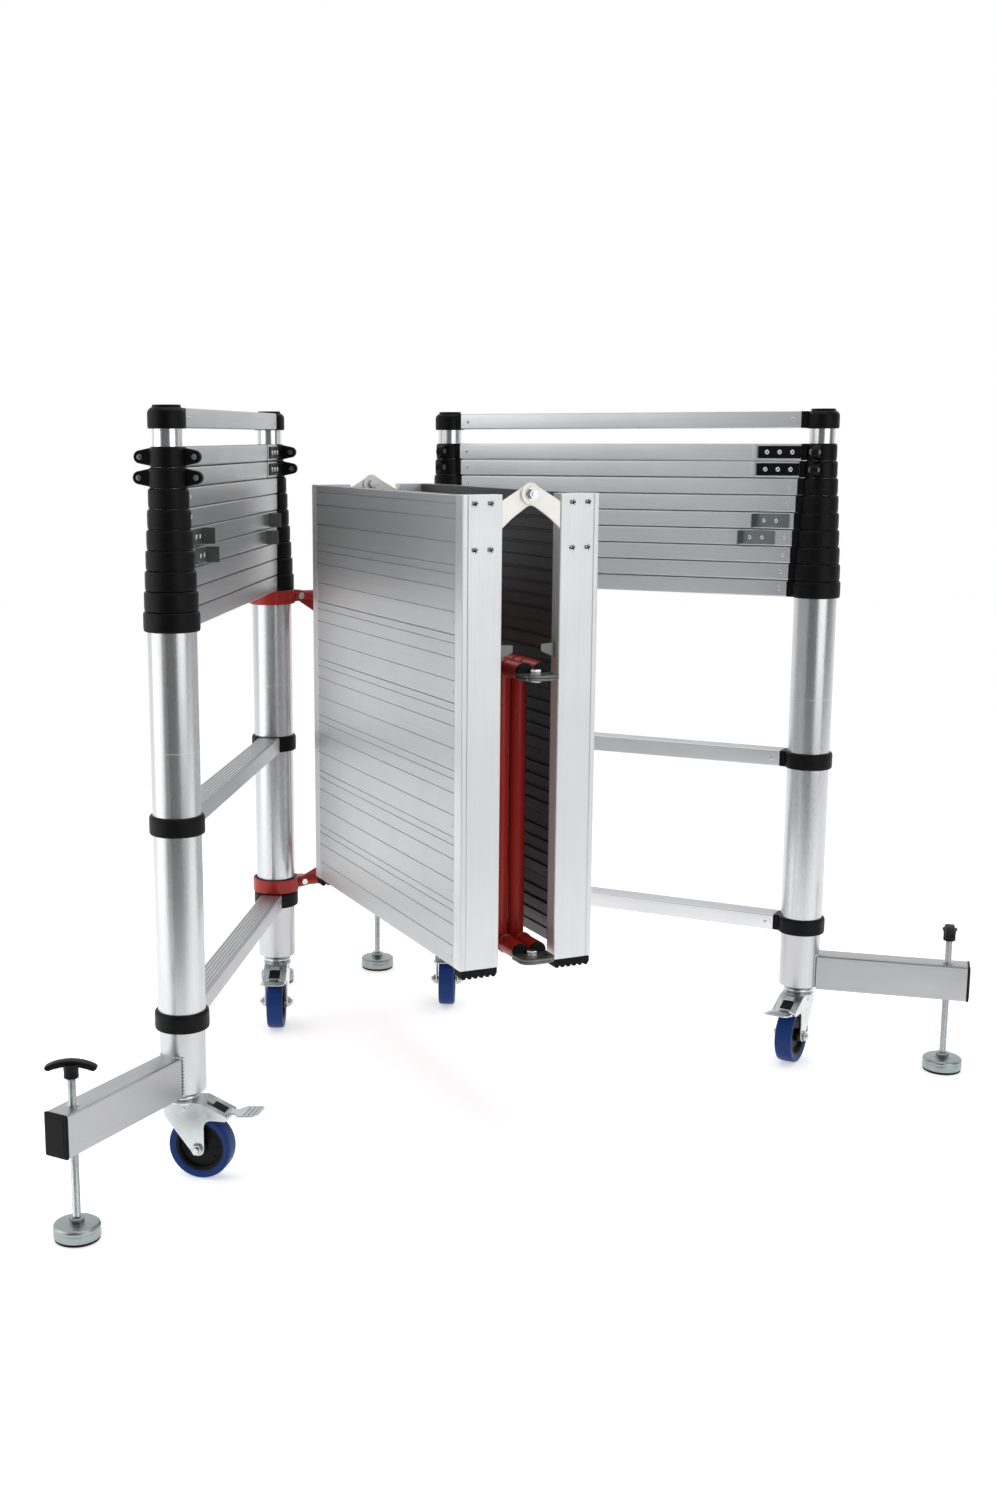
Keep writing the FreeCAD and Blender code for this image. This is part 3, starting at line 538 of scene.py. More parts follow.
def rung_rivets(span, length, bottom):
    """One rivet near each end of a rung, front and back."""
    parts = []
    for x in ((span - length) / 2 + 14, (span + length) / 2 - 14):
        front = dome(3.4, 1.3, along="y")
        settle(front, shift(x, RUNG_W / 2, bottom + RUNG_H / 2))
        parts += [front, again(front, shift(2 * x, 0, 0) @ Matrix.Rotation(math.pi, 4, "Z"))]
    return joined(parts)


def rung_length(level):
    return SIDE["left"]["span"] - 2 * (collar_r(level) + BOSS_REACH)


def top_cap(bottom):
    """The closed cap on the innermost tube: a waisted dome with a round button on top."""
    r = CAP_R
    profile = [(CAP_BORE, 0), (r - 2, 0), (r - 0.6, 0.8), (r, 3), (r, 22), (r - 1.2, 25.5), (r - 4, 28.5),
               (21.5, 29.6), (20.5, 30.2), (20.5, 32.6), (19.6, 33.4), (14, 33), (0, 33), (0, 27),
               (CAP_BORE, 27)]
    cap = turned([(radius, bottom + height) for radius, height in profile], 64, closed=True)
    boss = block((12, BOSS_W, RUNG_H), (r, 0, bottom + 1 + RUNG_H / 2), BOSS_ROUND, 3)
    return joined([cap, boss])


def ladder(side):
    """One frame: its posts, fixed collars and rungs, then each telescopic section."""
    place, span, body = in_frame(side), SIDE[side]["span"], f"{side}_frame"
    # metal is this side's rung aluminium, with its painted shade on the left frame and painted light on the
    # right
    metal, posts = RUNG_METAL_LIT_AND_SHADED[side], frame["nodes"][f"{side}_outer_tubes"]
    posts.data.materials.clear()
    posts.data.materials.append(POST_METAL)
    rows = [LOW_COLLAR, LOW_COLLAR + RUNG_PITCH, STACK]
    rings = []
    for bottom in rows:
        ring = collar(0, bottom)
        rings += [ring, again(ring, at_near(span))]
    keep(settle(joined(rings), place), f"{side}_fixed_collar_rings", body, BLACK,
         [f"{side}_fixed_collars"])
    liners = [tube(40, POST_R + 0.1, low, high) for low, high in ((265, 291), (809.5, 835.6))]
    keep(settle(joined(liners), place), f"{side}_clamp_liners", body, BLACK)
    steps = [rung(span, rung_length(0), bottom, True) for bottom in rows]
    keep(settle(joined(steps), place), f"{side}_fixed_steps", body, metal,
         [f"{side}_fixed_rungs"])
    rivets = [rung_rivets(span, rung_length(0), bottom) for bottom in rows]
    keep(settle(joined(rivets), place), f"{side}_fixed_rivets", body, ZINC)
    seams = [tube(POST_R + 0.12, POST_R - 0.2, 659.6, 660.6, (x, 0)) for x in (0, span)]
    keep(settle(joined(seams), place), f"{side}_tube_seams", body, RAIL_METAL)
    for level in range(1, SECTIONS + 1):
        telescopic(side, level, place, span, metal)


# how far in from a rung's end its angle brackets sit, by section
SHOVE = {3: 26, 4: 4}


def telescopic(side, level, place, span, metal):
    """A telescopic section: two tubes, two collars or caps, and the rung or rail between them."""
    node = f"{side}_section_{level}"
    last = level == SECTIONS
    bottom = collar_z(level) + (CAP_LIFT if last else 0)
    high = bottom + (CAP_H if last else COLLAR_H)
    radius = tube_r(level)
    tubes = [tube(radius, radius - TUBE_WALL, high - TUBE_LENGTH, high, (x, 0)) for x in (0, span)]
    keep(settle(joined(tubes), place), f"{node}_tubes", node, INNER_METAL, [node])
    ears = level in (SECTIONS - 1, SECTIONS - 2)
    ring = top_cap(bottom) if last else collar(level, bottom, ears)
    rings = joined([ring, again(ring, at_near(span))])
    keep(settle(rings, place), f"{node}_collars", node, BLACK, [node])
    length = span - 2 * (CAP_R + BOSS_REACH) if last else rung_length(level)
    low = bottom + 1 if last else bottom
    keep(settle(rung(span, length, low, not last), place), f"{node}_rung", node, metal,
         [node])
    keep(settle(rung_rivets(span, length, low), place), f"{node}_rivets", node, ZINC, [node])
    if ears:
        bolts = ear_bolts(level, bottom)
        bolts = joined([bolts, again(bolts, at_near(span))])
        # the ear bolts take the darkened zinc: partly their own dark finish, partly painted shade in their
        # recess
        keep(settle(bolts, place), f"{node}_ear_bolts", node, DULL_ZINC_AND_PAINTED_SHADE, [node])
        rail_fittings(side, level, place, span, length, bottom)
    if level in SHOVE:
        rung_brackets(side, level, place, span, length, bottom)


def rail_fittings(side, level, place, span, length, bottom):
    """The riveted plate and the slimmer inner rail at one end of a guard rail."""
    node = f"{side}_section_{level}"
    near_end = side == "right"
    face = 1 if side == "left" else -1
    edge = (span + length) / 2 if near_end else (span - length) / 2
    back = -1 if near_end else 1
    middle = bottom + RUNG_H / 2
    plate = block((74, 3.2, 21), (edge + back * 37, face * (RUNG_W / 2 + 1.7), middle), 1.0)
    collar_edge = block((9, 42.6, 27.6), (edge + back * 80, 0, middle), 0.8)
    keep(settle(plate, place), f"{node}_rail_plate", node, BLACK, [node])
    # the sleeve shares the rung aluminium and its painted light and shade by side
    keep(settle(collar_edge, place), f"{node}_rail_sleeve", node, RUNG_METAL_LIT_AND_SHADED[side], [node])
    heads = [face_head(4.2, 1.8, face, edge + back * step, face * (RUNG_W / 2 + 3.3), middle)
             for step in (14, 36, 58)]
    keep(settle(joined(heads), place), f"{node}_rail_rivets", node, ZINC, [node])


def face_head(radius, height, face, x, y, z):
    """A rivet head on the +Y or the -Y face of a rung."""
    head = dome(radius, height, along="y")
    if face < 0:
        settle(head, Matrix.Rotation(math.pi, 4, "Z"))
    return settle(head, shift(x, y, z))


def rung_brackets(side, level, place, span, length, bottom):
    """Plated angle brackets riveted near the ends of a rung."""
    node = f"{side}_section_{level}"
    face = 1 if side == "left" else -1
    middle = bottom + RUNG_H / 2
    ends = ("far", "near") if side == "left" else ("near",)
    plates, heads = [], []
    for end in ends:
        back = 1 if end == "far" else -1
        edge = (span - length) / 2 if end == "far" else (span + length) / 2
        centre = edge + back * (34 + SHOVE[level])
        y = face * (RUNG_W / 2 + 1.1)
        plates.append(block((62, 2.0, 24), (centre, y, middle), 0.6))
        plates.append(block((2.0, 20, 24), (centre + back * 30, y + face * 10, middle), 0.6))
        heads += [face_head(3.6, 1.6, face, centre + step, y + face, middle) for step in (-14, 8)]
    # painted shade: the same brackets take the darkened zinc on the left frame and the brighter satin zinc on
    # the right
    keep(settle(joined(plates), place), f"{node}_brackets", node, DULL_ZINC_AND_PAINTED_SHADE if side == "left" else FOOT_ZINC,
         [node])
    keep(settle(joined(heads), place), f"{node}_bracket_rivets", node, ZINC, [node])


# ---------------------------------------------------------------- legs, jacks and casters

def post_place(name, angle):
    """A post's axes, with +X turned to a direction."""
    spot = Vector(JOINTS[f"{name}_leg_swivel"]["pos_m"]) * 1000
    return shift(spot.x, spot.y) @ Matrix.Rotation(angle, 4, "Z")


def heading(name, what):
    """The direction of a leg's arm or of a caster's trail, from the joints on it."""
    spot = Vector(JOINTS[f"{name}_leg_swivel"]["pos_m"])
    other = Vector(JOINTS[f"{name}_{what}"]["pos_m"])
    return math.atan2(other.y - spot.y, other.x - spot.x)


def leg(name):
    """A swivel leg with its box-section outrigger arm, weld beads, end cap and bushes."""
    angle = heading(name, "screw_turn")
    place, body = post_place(name, angle), f"{name}_leg"
    stem = tube(LEG_R, LEG_BORE, LEG_LOW, LEG_HIGH)
    hw, low, high, r, cut = ARM_HALF, ARM_LOW, ARM_HIGH, 4.0, 1.2
    section = [(-hw + r, low), (hw - r, low), (hw - cut, low + cut), (hw, low + r), (hw, high - r),
               (hw - cut, high - cut), (hw - r, high), (-hw + r, high), (-hw + cut, high - cut),
               (-hw, high - r), (-hw, low + r), (-hw + cut, low + cut)]
    arm = slab([(ARM_START, y, z) for y, z in section], (ARM_RUN, 0, 0), 0)
    bead, beads, bead_low, bead_high = [], 12, 140, 196
    for y in (-19.5, 19.5):
        for i in range(beads):
            z = bead_low + (bead_high - bead_low) * i / (beads - 1)
            bead.append(settle(dome(3.6, 2.4, along="x", steps=10), shift(27.6, y, z)))
    for i in range(9):
        y = -18 + 4.5 * i
        bead.append(settle(dome(3.4, 2.4, steps=10), shift(math.sqrt(LEG_R ** 2 - y * y), y, 197)))
    plug = turned([(0, 139), (32, 139), (32, 141), (0, 141)], 40)
    if angle not in ARM_METAL:
        ARM_METAL[angle] = aluminium(f"{name} arm aluminium", 0.46, ALONG_X, 0.3, 0.44, -angle)
    keep(settle(joined([stem, plug] + bead), place), f"{name}_leg_tube", body, LEG_METAL,
         [body])
    keep(settle(arm, place), f"{name}_outrigger", body, ARM_METAL[angle], [body])
    middle = (ARM_LOW + ARM_HIGH) / 2
    cap = [block((5, 40.6, 64.6), (290.0, 0, middle), 2.4, 3), block((2, 30, 54), (292.2, 0, middle), 0.9)]
    keep(settle(joined(cap), place), f"{name}_arm_cap", body, BLACK, [body])
    bush = [turned([(6.3, z), (9, z), (9, z + 1.2), (6.3, z + 1.2)], 28, closed=True)
            for z in (ARM_HIGH, ARM_LOW - 1.2)]
    keep(settle(joined(bush), place @ shift(SCREW_REACH)), f"{name}_arm_bush", body, ZINC,
         [body])
    return place


# a wing handle's own turn about its screw, in degrees; the others stand square to their arm
HANDLE_TURN = {"left_near": 30}


def thread_outline(low, high, radius, pitch=1.75):
    points, z = [(0, low), (radius - 1.2, low)], low + 0.6
    while z + pitch < high:
        points += [(radius - 0.95, z), (radius, z + pitch * 0.45), (radius, z + pitch * 0.58)]
        z += pitch
    return points + [(radius - 1.2, high), (0, high)]


def jack(name, place):
    """A levelling jack: the threaded rod, its wing handle, and the foot with its rubber pad."""
    screw, foot = f"{name}_screw", f"{name}_foot"
    at = place @ shift(SCREW_REACH)
    rod = turned(thread_outline(26, 262, SCREW_R), 20)
    keep(settle(rod, at), f"{name}_threaded_rod", screw, ZINC, [f"{name}_jack_screw"])
    arch = []
    for i in range(13):
        t = -1 + i / 6
        arch.append((-8.5, 38 * t, 265.5 - 9.5 * t * t - 1.5 * t ** 8))
    under = [(-8.5, 34 * t, 256.5 - 8.0 * t * t) for t in (0.95, 0.7, 0.4, 0.2, -0.2, -0.4, -0.7, -0.95)]
    wing = slab(arch + under, (17, 0, 0), 3.2, 3)
    settle(wing, Matrix.Rotation(math.radians(HANDLE_TURN.get(name, 0)), 4, "Z"))
    hub = turned([(0, 239), (9.6, 239), (10.6, 240), (10.2, 246), (10.6, 254), (13, 260), (0, 262)], 32)
    keep(settle(joined([wing, hub]), at), f"{name}_wing_handle", screw, BLACK,
         [f"{name}_jack_screw"])
    disc = turned([(0, 4.05), (32.4, 4.05), (33.5, 4.8), (33.9, 6.4), (33.9, 13), (33.1, 15.4),
                   (33.1, 16.2), (33.9, 17.2), (33.9, 19.6), (33, 22), (30.5, 23.6), (27, 24),
                   (16, 24.4), (14.5, 25.6), (0, 25.6)], 64)
    nut = hexagon(19, 8, (0, 0, 25.4))
    keep(settle(joined([disc, nut]), at), f"{name}_foot_disc", foot, FOOT_ZINC, [foot])
    base = turned([(0, 0), (31, 0), (32.4, 0.8), (32.4, 4.0), (0, 4.0)], 64)
    keep(settle(base, at), f"{name}_foot_rubber", foot, RUBBER, [foot])


def caster(name):
    """A caster: the stamped fork with its race, the axle, the elastic wheel and the brake lever."""
    place = post_place(name, heading(name, "wheel_spin"))
    fork, wheel, pedal = f"{name}_fork", f"{name}_wheel", f"{name}_pedal"
    cheek_out, axle = CHEEK_IN + CHEEK_T, shift(WHEEL_TRAIL, 0, WHEEL_R)
    race = turned([(0, 118), (25.5, 118), (27, 119.4), (27, 122.6), (25, 124), (22, 124.6), (24.2, 126),
                   (25.4, 128.4), (25.4, 130.6), (24, 132.6), (20.5, 133.6), (23, 134.6), (23, 137.6),
                   (0, 137.6)], 48)
    corner = [(51 - 12 * math.sin(t), 85.5 + 12 * math.cos(t)) for t in (0, 0.4, 0.8, 1.2, 1.57)]
    tip = [(WHEEL_TRAIL + CHEEK_TIP * math.cos(t), WHEEL_R - CHEEK_TIP * math.sin(t))
           for t in (0, 0.45, 0.9, 1.35, 1.8, 2.25, 2.7)]
    outline = [(-25, 124), (34, 124), (76, 106.4), (77, 104), (76.4, 100), (74, 98.2)] + corner + tip
    outline += [(-23, 96), (-26, 104), (-26, 118)]
    cheeks = [slab([(x, sign * CHEEK_IN, z) for x, z in outline], (0, sign * CHEEK_T, 0), 0.9)
              for sign in (-1, 1)]
    cover = ((-26, 121), (31, 121), (76, 102.4), (77, 105), (34, 124), (-26, 124))
    hood = slab([(x, -21, z) for x, z in cover], (0, 42, 0), 0.9)
    slope = Matrix.Rotation(math.atan2(19, 43), 4, "Y")
    latch = settle(block((11, 15, 3), (0, 0, 0), 0.8), shift(45, 0, 120.4) @ slope)
    keep(settle(joined([race, hood, latch] + cheeks), place), f"{name}_fork_shell", fork, ZINC,
         [f"{name}_caster_fork"])
    # painted shade: the window in the fork's hood is drawn as a thin black plate for its shadowed opening
    window_shade = settle(block((22, 20, 0.6), (0, 0, 0), 0.2), shift(59, 0, 113.1) @ slope)
    keep(settle(window_shade, place), f"{name}_fork_window_shade", fork, HUB, [f"{name}_caster_fork"])
    ends = []
    for sign in (-1, 1):
        turn = Matrix.Rotation(math.pi / 2 * -sign, 4, "X")
        for piece in (hexagon(16, 5.4), turned([(0, 5), (5.2, 5), (5.4, 8), (4.6, 9.4), (0, 9.4)], 18),
                      turned([(0, -0.2), (9.5, -0.2), (9.5, 0.9), (0, 0.9)], 28)):
            ends.append(settle(piece, axle @ shift(0, sign * (cheek_out + 0.1)) @ turn))
    ends.append(bar((WHEEL_TRAIL, -cheek_out, WHEEL_R), (WHEEL_TRAIL, cheek_out, WHEEL_R), 4.9, 20))
    for sign in (-1, 1):
        turn = Matrix.Rotation(math.pi / 2 * -sign, 4, "X")
        ends.append(settle(dome(3.4, 1.6), shift(8, sign * cheek_out, 112) @ turn))
    keep(settle(joined(ends), place), f"{name}_axle_nuts", fork, ZINC,
         [f"{name}_caster_fork"])
    half = [(38.2, -13), (42, -14.6), (46.2, -15.4), (48.6, -14.2), (49.7, -11), (WHEEL_R, -5)]
    tyre = turned(half + [(r, -y) for r, y in reversed(half)], 72, closed=True, along="y")
    keep(settle(tyre, place @ axle), f"{name}_tyre", wheel, BLUE, [wheel])
    half = [(5.2, -16), (10, -16), (11.5, -14.5), (12, -8), (29, -6), (31.5, -7), (33, -12), (35, -13.4),
            (38.1, -13.4)]
    hub = turned(half + [(r, -y) for r, y in reversed(half)], 60, closed=True, along="y")
    spokes = [settle(block((17, 14, 3.2), (21, 0, 0), 0.8), Matrix.Rotation(math.radians(36 * i), 4, "Y"))
              for i in range(10)]
    keep(settle(joined([hub] + spokes), place @ axle), f"{name}_hub", wheel, HUB, [wheel])
    half = [(71, 10), (79, 8.5), (86, 11), (93, 20.5), (97, 22.5), (119, 22), (125, 16)]
    outline = [(x, -y, 0) for x, y in half] + [(x, y, 0) for x, y in reversed(half)]
    paddle = [slab(outline, (0, 0, 2.6), 0.9)]
    paddle += [block((2.4, 30, 1.6), (x, 0, 2.9), 0.6) for x in (102, 109, 116)]
    lever = settle(joined(paddle), shift(72, 0, 104.6) @ Matrix.Rotation(-0.12, 4, "Y") @ shift(-72))
    lip = block((3, 29, 10), (73.5, 0, 103), 0.9)
    eye = bar((73.5, -15, 99.5), (73.5, 15, 99.5), 2.5, 14, 0.4)
    keep(settle(joined([lever, lip, eye]), place), f"{name}_brake_lever", pedal, ZINC,
         [f"{name}_brake_pedal"])


# ---------------------------------------------------------------- the red brace

def brace(side):
    """One leaf of the brace: two rails, two uprights, the clamps on the post, and the pivot plates."""
    pivot = Vector(JOINTS["brace_pivot"]["pos_m"]) * 1000
    post = SIDE[side]["far"]
    sign = -1 if side == "left" else 1
    body = f"brace_{side}_leaf"
    x = pivot.x + sign * BRACE_X
    near, far = pivot.y + BRACE_NEAR, post.y - BRACE_FAR
    low, high, under, over = RAIL_LOW, RAIL_HIGH, CLAMP_LOW, CLAMP_HIGH
    parts = [bar((x, near, z), (x, far + 10, z), BRACE_R) for z in (low, high)]
    parts.append(bar((x, pivot.y + 90, low), (x, pivot.y + 90, high), BRACE_R - 0.4))
    parts.append(bar((x, far, under - 10), (x, far, over + 10), BRACE_R))
    for z in (under, over):
        parts.append(bar((x, far, z), (post.x - sign * 41, far, z), 9))
        down, up, rim = z - BAND_HALF, z + BAND_HALF, BAND_R - 0.6
        band = [(BAND_IN, down), (rim, down), (BAND_R, down + 0.7), (BAND_R, up - 0.7), (rim, up),
                (BAND_IN, up)]
        parts.append(turned(band, 64, closed=True, at=(post.x, post.y, 0)))
    for z, tip, tube_z in ((under, 1, low), (over, -1, high)):
        reach = post.x - sign * 44
        web = [(x, far + 2, tube_z + tip * 26), (x, far + 2, z), (reach, far + 2, z - tip * 2),
               (reach, far + 2, z + tip * 6)]
        parts.append(slab(web, (0, -4, 0), 0.8))
        root, end, y = post.x - sign * 40, post.x - sign * 60, post.y - 12
        lug = [(root, y, z - 11), (end, y, z - 9), (end, y, z + 9), (root, y, z + 11)]
        parts.append(slab(lug, (0, 24, 0), 1.4))
    for z in (low, high):
        for y in (34, 62):
            rib = [(14.05, y), (15.4, y + 0.8), (15.4, y + 3.2), (14.05, y + 4)]
            parts.append(turned(rib, 28, closed=True, at=(x, pivot.y + 26, z), along="y"))
    keep(joined(parts), f"brace_{side}_tubes", body, RED, [f"brace_{side}"])
    plugs = [turned([(0, 0), (12.4, 0), (13.8, 1.4), (13.8, 5), (0, 5)], 28, at=(x, near - 4.6, z), along="y")
             for z in (low, high)]
    keep(joined(plugs), f"brace_{side}_end_plugs", body, BLACK, [f"brace_{side}"])
    lift = 0 if side == "left" else PLATE_LIFT
    out = [(-30, -18), (-26, -26), (-15, -31), (14, -31), (27, -24), (30, -12), (30, 10.6), (-30, 10.6)]
    plates = [slab([(pivot.x - sign * px, pivot.y + py, z - PLATE_DROP + lift) for px, py in out],
                   (0, 0, PLATE_T), 1.0) for z in (low, high)]
    # the pivot plates take the zinc darkened as painted shade
    keep(joined(plates), f"brace_{side}_pivot_plates", body, DULL_ZINC_AND_PAINTED_SHADE, [f"brace_{side}"])
    if side == "left":
        bolts = []
        for z in (low - PLATE_DROP, high - PLATE_DROP):
            bolts.append(hexagon(15, 6, (pivot.x, pivot.y, z + 8.5)))
            bolts.append(hexagon(15, 5, (pivot.x, pivot.y, z - 5.2)))
            bolts.append(turned([(0, 8.4), (9.5, 8.4), (9.5, 8.8), (0, 8.8)], 28, at=(pivot.x, pivot.y, z)))
        keep(joined(bolts), "brace_pivot_bolt_set", body, ZINC, ["brace_pivot_bolts"])
    else:
        # painted shade: the holes in the right pivot plates are drawn as thin black discs
        hole = [(0, 0), (3.6, 0), (3.6, 0.3), (0, 0.3)]
        holes = [turned(hole, 20, at=(pivot.x + 19, pivot.y - 13, z - 1.7)) for z in (low, high)]
        keep(joined(holes), "brace_right_plate_hole_shade", body, HUB, ["brace_right"])
    screws = []
    for z in (under, over):
        at_x = post.x - sign * 52
        for y, way in ((post.y - 13, 1), (post.y + 13, -1)):
            turn = Matrix.Rotation(math.pi / 2 * way, 4, "X")
            screws.append(settle(hexagon(11, 5), shift(at_x, y, z) @ turn))
    keep(joined(screws), f"brace_{side}_clamp_bolts", body, ZINC, [f"brace_{side}"])


# ---------------------------------------------------------------- the deck

def plank_outline(height):
    """One plank's section: shallow grooves on the walking face and ribs on the back."""
    points = [(0.6, 0.2)]
    for share in (0.334, 0.667, 0.881, 0.993):
        z = share * height
        if share < 0.9:
            points += [(0, z - 1.5), (1.6, z - 0.9), (1.6, z + 0.1), (0, z + 0.7)]
        else:
            points += [(0, z - 0.6), (0.6, z + 0.2)]
    back = PLANK_DEPTH
    points += [(back - 0.6, 0.993 * height)]
    for share in (0.8, 0.6, 0.4, 0.2):
        z = share * height
        points += [(back, z + 3), (back - 3, z + 2.2), (back - 3, z - 2.2), (back, z - 3)]
    return points + [(back, 0.8), (back - 0.6, 0.2)]


def deck(side):
    """One half of the deck: planks, end rails with their screws, punch marks, knees and feet."""
    body, name = f"deck_{side}_half", f"deck_{side}"
    sign = -1 if side == "left" else 1
    low, high = (Vector(c) * 1000 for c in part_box(f"{name}_rails"))
    skin = low.x if side == "left" else high.x
    inner = high.x if side == "left" else low.x
    bottom, top, near, far = low.z, high.z, low.y, high.y
    thick, pitch = RAIL_T, (top - bottom) / PLANKS
    planks = []
    for i in range(PLANKS):
        outline = [(skin - sign * x, near + thick + 0.4, bottom + i * pitch + z)
                   for x, z in plank_outline(pitch)]
        planks.append(slab(outline, (0, far - near - 2 * thick - 0.8, 0), 0))
    # the plank boards carry painted shade on their backs, from the plank aluminium
    keep(joined(planks), f"{name}_plank_boards", body, SHADED_PLANK_METAL[side],
         [f"{name}_planks"])
    rails = []
    for face, out in ((near, -1), (far, 1)):
        back = face - out * thick
        section = [(skin, face - out * 1.2), (skin - sign * 1.2, face), (skin - sign * 8, face),
                   (skin - sign * 8.5, face - out * 0.7), (skin - sign * 9.3, face - out * 0.7),
                   (skin - sign * 9.8, face), (inner + sign * 1.2, face), (inner, face - out * 1.2),
                   (inner, back + out * 0.6), (skin - sign * 26, back + out * 0.6),
                   (skin - sign * 26, back), (skin, back)]
        rails.append(slab([(px, py, bottom) for px, py in section], (0, 0, top - bottom), 0.4, 1))
    keep(joined(rails), f"{name}_end_rails", body, RAIL_METAL, [f"{name}_rails"])
    heads, marks = [], []
    middle = (skin + inner) / 2
    for y, out in ((near, -1), (far, 1)):
        turn = Matrix.Rotation(math.pi / 2 * -out, 4, "X")
        for z in (top - 13, top - 81):
            for px in (-13, 13):
                place = shift(middle + px, y + out * 0.1, z) @ turn
                heads.append(settle(dome(5.6, 2.6, steps=24), place))
                # painted shade: each screw's cross recess is drawn as two dark raised bars
                for spin in (0, math.pi / 2):
                    mark = block((7.4, 1.9, 0.9), (0, 0, 2.5), 0.2, 1)
                    marks.append(settle(mark, place @ Matrix.Rotation(spin + 0.4, 4, "Z")))
    keep(joined(heads), f"{name}_rail_screws", body, ZINC, [f"{name}_rails"])
    keep(joined(marks), f"{name}_screw_recess_shade", body, HUB, [f"{name}_rails"])
    ticks = []
    for y in (near + thick + 5, far - thick - 5):
        for i in range(PLANKS):
            for share in (0.17, 0.5, 0.775, 0.94):
                z = bottom + (i + share) * pitch
                ticks.append(block((0.5, 1.2, 7), (skin - sign * 0.1, y, z), 0.2, 1))
    keep(joined(ticks), f"{name}_punch_marks", body, LEG_METAL, [f"{name}_planks"])
    knees(side, body, near, far, top)
    feet(side, body, skin, inner, sign, near, far, bottom, thick)


def knees(side, body, near, far, top):
    """The knee-shaped hinge plates, with the eye that the hinge bolt goes through."""
    name = f"deck_{side}"
    hinge = Vector(JOINTS["deck_left_unfold"]["pos_m"]) * 1000
    sign = -1 if side == "left" else 1
    eye = [(hinge.x + KNEE_R * math.cos(t), hinge.z + KNEE_R * math.sin(t)) for t in
           (math.radians(a) for a in range(90, -110, -25))]
    if side == "right":
        eye = [(2 * hinge.x - px, pz) for px, pz in eye]
    edge = hinge.x + sign * KNEE_REACH
    outline = [(edge, top - KNEE_DROP), (edge, top - 12), (edge - sign * 5, top - 8)] + eye
    outline += [(hinge.x + sign * 6, top - KNEE_R - 2), (edge - sign * 18, top - 36)]
    plates = []
    for y, out in ((near, 1), (far, -1)):
        outer = (y == near) != (side == "left")
        depth = 3.0 if outer else 7.4
        start = y + out * (depth - 2)
        plates.append(slab([(px, start, pz) for px, pz in outline], (0, out * KNEE_T, 0), 1.0))
    keep(joined(plates), f"{name}_knees", body, YELLOW_ZINC, [f"{name}_knee_plates"])
    if side == "left":
        bolts = []
        for y, out in ((near, -1), (far, 1)):
            turn = Matrix.Rotation(math.pi / 2 * -out, 4, "X")
            place = shift(hinge.x, y - out * 0.6, hinge.z) @ turn
            bolts.append(settle(turned([(0, 0), (10, 0), (10, 1.4), (0, 1.4)], 32), place))
            bolts.append(settle(hexagon(14, 6.4, (0, 0, 1.3)), place))
            bolts.append(settle(turned([(0, 7.6), (4.4, 7.6), (4.0, 9.4), (0, 9.4)], 20), place))
            bolts.append(settle(hexagon(14, 7, (0, 0, -17.5)), place))
        keep(joined(bolts), "deck_hinge_bolt_set", "deck_hinge", ZINC, ["deck_hinge_bolts"])


def feet(side, body, skin, inner, sign, near, far, bottom, thick):
    """The ribbed rubber feet under the rails, and the hanger plates inside them."""
    name = f"deck_{side}"
    start, end = sorted((skin - sign * 2, inner + sign * 2))
    wave = [(start, -0.1), (start, -9)]
    ribs = 6
    step = (end - start) / ribs
    for i in range(ribs):
        x = start + i * step
        wave += [(x + step * 0.25, -14.5), (x + step * 0.65, -14.5), (x + step * 0.95, -9.5)]
    wave += [(end, -9), (end, -0.1)]
    rubbers = [slab([(px, y, bottom + pz) for px, pz in wave], (0, thick, 0), 0.8)
               for y in (near, far - thick)]
    keep(joined(rubbers), f"{name}_ribbed_feet", body, RUBBER, [f"{name}_fittings"])
    hangers = []
    for y in (near + 11, far - thick + 11):
        hook = [(inner, 779.4), (inner - sign * 24.6, 790), (inner - sign * 24.6, 801), (inner, 802.6)]
        hangers.append(slab([(px, y, pz) for px, pz in hook], (0, 3, 0), 0.6))
    # the hanger plates take the zinc darkened as painted shade, for the shade they sit in
    keep(joined(hangers), f"{name}_hanger_plates", body, DULL_ZINC_AND_PAINTED_SHADE, [f"{name}_fittings"])


# ---------------------------------------------------------------- the studio

FLOOR_GLOW = 0.45
FLOOR_CORNERS = ((-5290, 510, -0.5), (3950, -3290, -0.5), (7500, 6500, -0.5), (-2700, 10300, -0.5))
SKY_AIM, SKY_SPAN, SKY_GLOW = (0.38, 0.92, 0.3), (0.12, 0.95), (-0.25, 0.55)
# name, place in metres, width and height, power
SOFT_BOXES = (("right_box", (0.8, -2.95, 1.3), (2.3, 2.4), 28.0),
              ("left_box", (-2.4, -0.05, 1.2), (2.2, 2.4), 24.0),
              ("top_box", (0.0, -0.6, 3.4), (2.4, 2.4), 26.0))
# the viewer's place from the middle of the far posts in metres, its turn in degrees, and its lens
VIEWER, VIEWER_TURN = (-1.1999, -3.035, 1.1118), (90 - 10.93, 0.13, -22.5)
SENSOR, FOCAL, LENS_SHIFT = 36.0, 41.48, (0.0719, 0.0134)


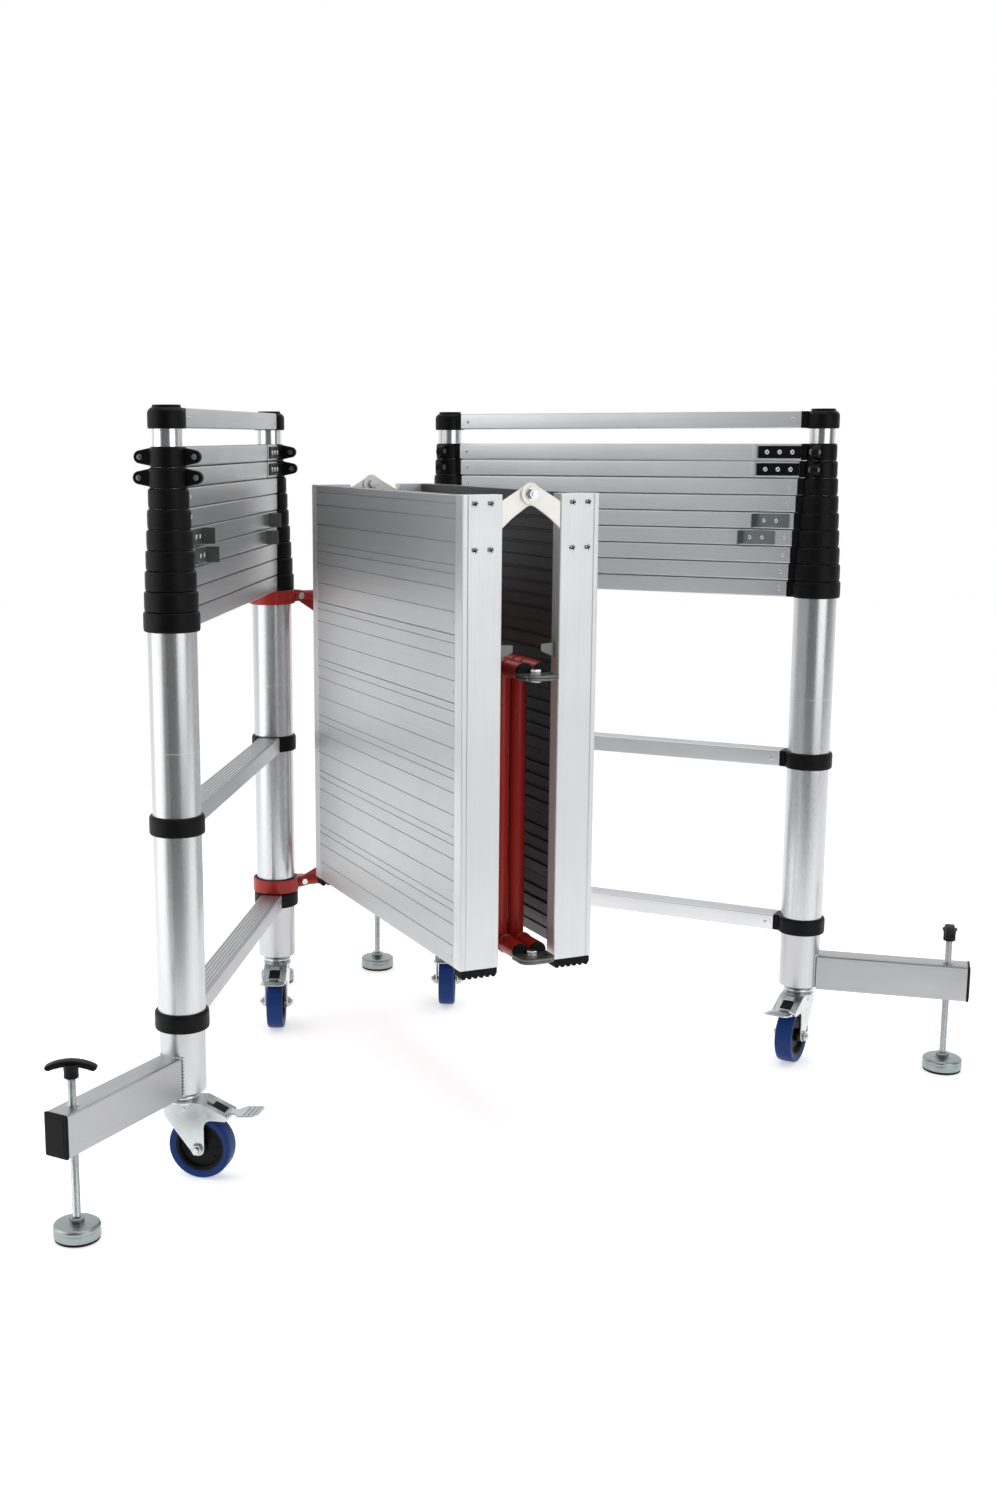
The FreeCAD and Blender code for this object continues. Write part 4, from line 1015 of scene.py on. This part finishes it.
def studio():
    """A pale floor, a sky that darkens towards the viewer, and three soft boxes."""
    pale = bpy.data.materials.new("pale studio floor")
    pale.use_nodes = True
    principled = pale.node_tree.nodes["Principled BSDF"]
    principled.inputs["Base Color"].default_value = shade(0.93, 0.93, 0.93)
    principled.inputs["Roughness"].default_value = 0.9
    principled.inputs["Specular IOR Level"].default_value = 0.1
    principled.inputs["Emission Color"].default_value = shade(1.0, 1.0, 1.0)
    principled.inputs["Emission Strength"].default_value = FLOOR_GLOW
    draw(FLOOR_CORNERS, True)
    bpy.ops.mesh.edge_face_add()
    bpy.ops.mesh.normals_make_consistent(inside=False)
    object_mode()
    floor = bpy.context.object
    floor.name = "studio_floor"
    floor.data.materials.append(pale)
    world = bpy.data.worlds.new("soft studio")
    bpy.context.scene.world = world
    world.use_nodes = True
    nodes, link = world.node_tree.nodes, world.node_tree.links.new
    where, aim = nodes.new("ShaderNodeTexCoord"), nodes.new("ShaderNodeVectorMath")
    aim.operation = "DOT_PRODUCT"
    link(where.outputs["Generated"], aim.inputs[0])
    aim.inputs[1].default_value = SKY_AIM
    seen, glow = nodes.new("ShaderNodeLightPath"), nodes.new("ShaderNodeMapRange")
    link(ranged(world.node_tree, aim.outputs["Value"], *SKY_SPAN, *SKY_GLOW), glow.inputs["To Min"])
    link(seen.outputs["Is Camera Ray"], glow.inputs["Value"])
    glow.inputs["To Max"].default_value = 1.0
    link(glow.outputs["Result"], nodes["Background"].inputs["Strength"])
    nodes["Background"].inputs["Color"].default_value = shade(1.0, 1.0, 1.0)
    for name, place, size, power in SOFT_BOXES:
        bpy.ops.object.light_add(type="AREA", location=place)
        lamp = bpy.context.object
        lamp.name = name
        lamp.data.shape = "RECTANGLE"
        lamp.data.size, lamp.data.size_y = size
        lamp.data.energy = power
        lamp.visible_camera = False
        lamp.rotation_euler = (Vector((0, 0, 0.6)) - Vector(place)).to_track_quat("-Z", "Y").to_euler()
    bpy.context.scene.view_settings.view_transform = "Standard"


def camera():
    """The view from the front left, a little above the deck."""
    middle = (SIDE["left"]["far"] + SIDE["right"]["far"]) / 2 * MM
    clear()
    bpy.ops.object.camera_add()
    lens = bpy.context.object
    lens.location = (middle.x + VIEWER[0], middle.y + VIEWER[1], VIEWER[2])
    lens.rotation_mode = "XYZ"
    lens.rotation_euler = [math.radians(degrees) for degrees in VIEWER_TURN]
    lens.data.sensor_width, lens.data.lens = SENSOR, FOCAL
    lens.data.shift_x, lens.data.shift_y = LENS_SHIFT
    bpy.context.scene.camera = lens


for side in SIDE:
    ladder(side)
    for post in ("far", "near"):
        jack(f"{side}_{post}", leg(f"{side}_{post}"))
        caster(f"{side}_{post}")
    brace(side)
    deck(side)
studio()
camera()
clear()
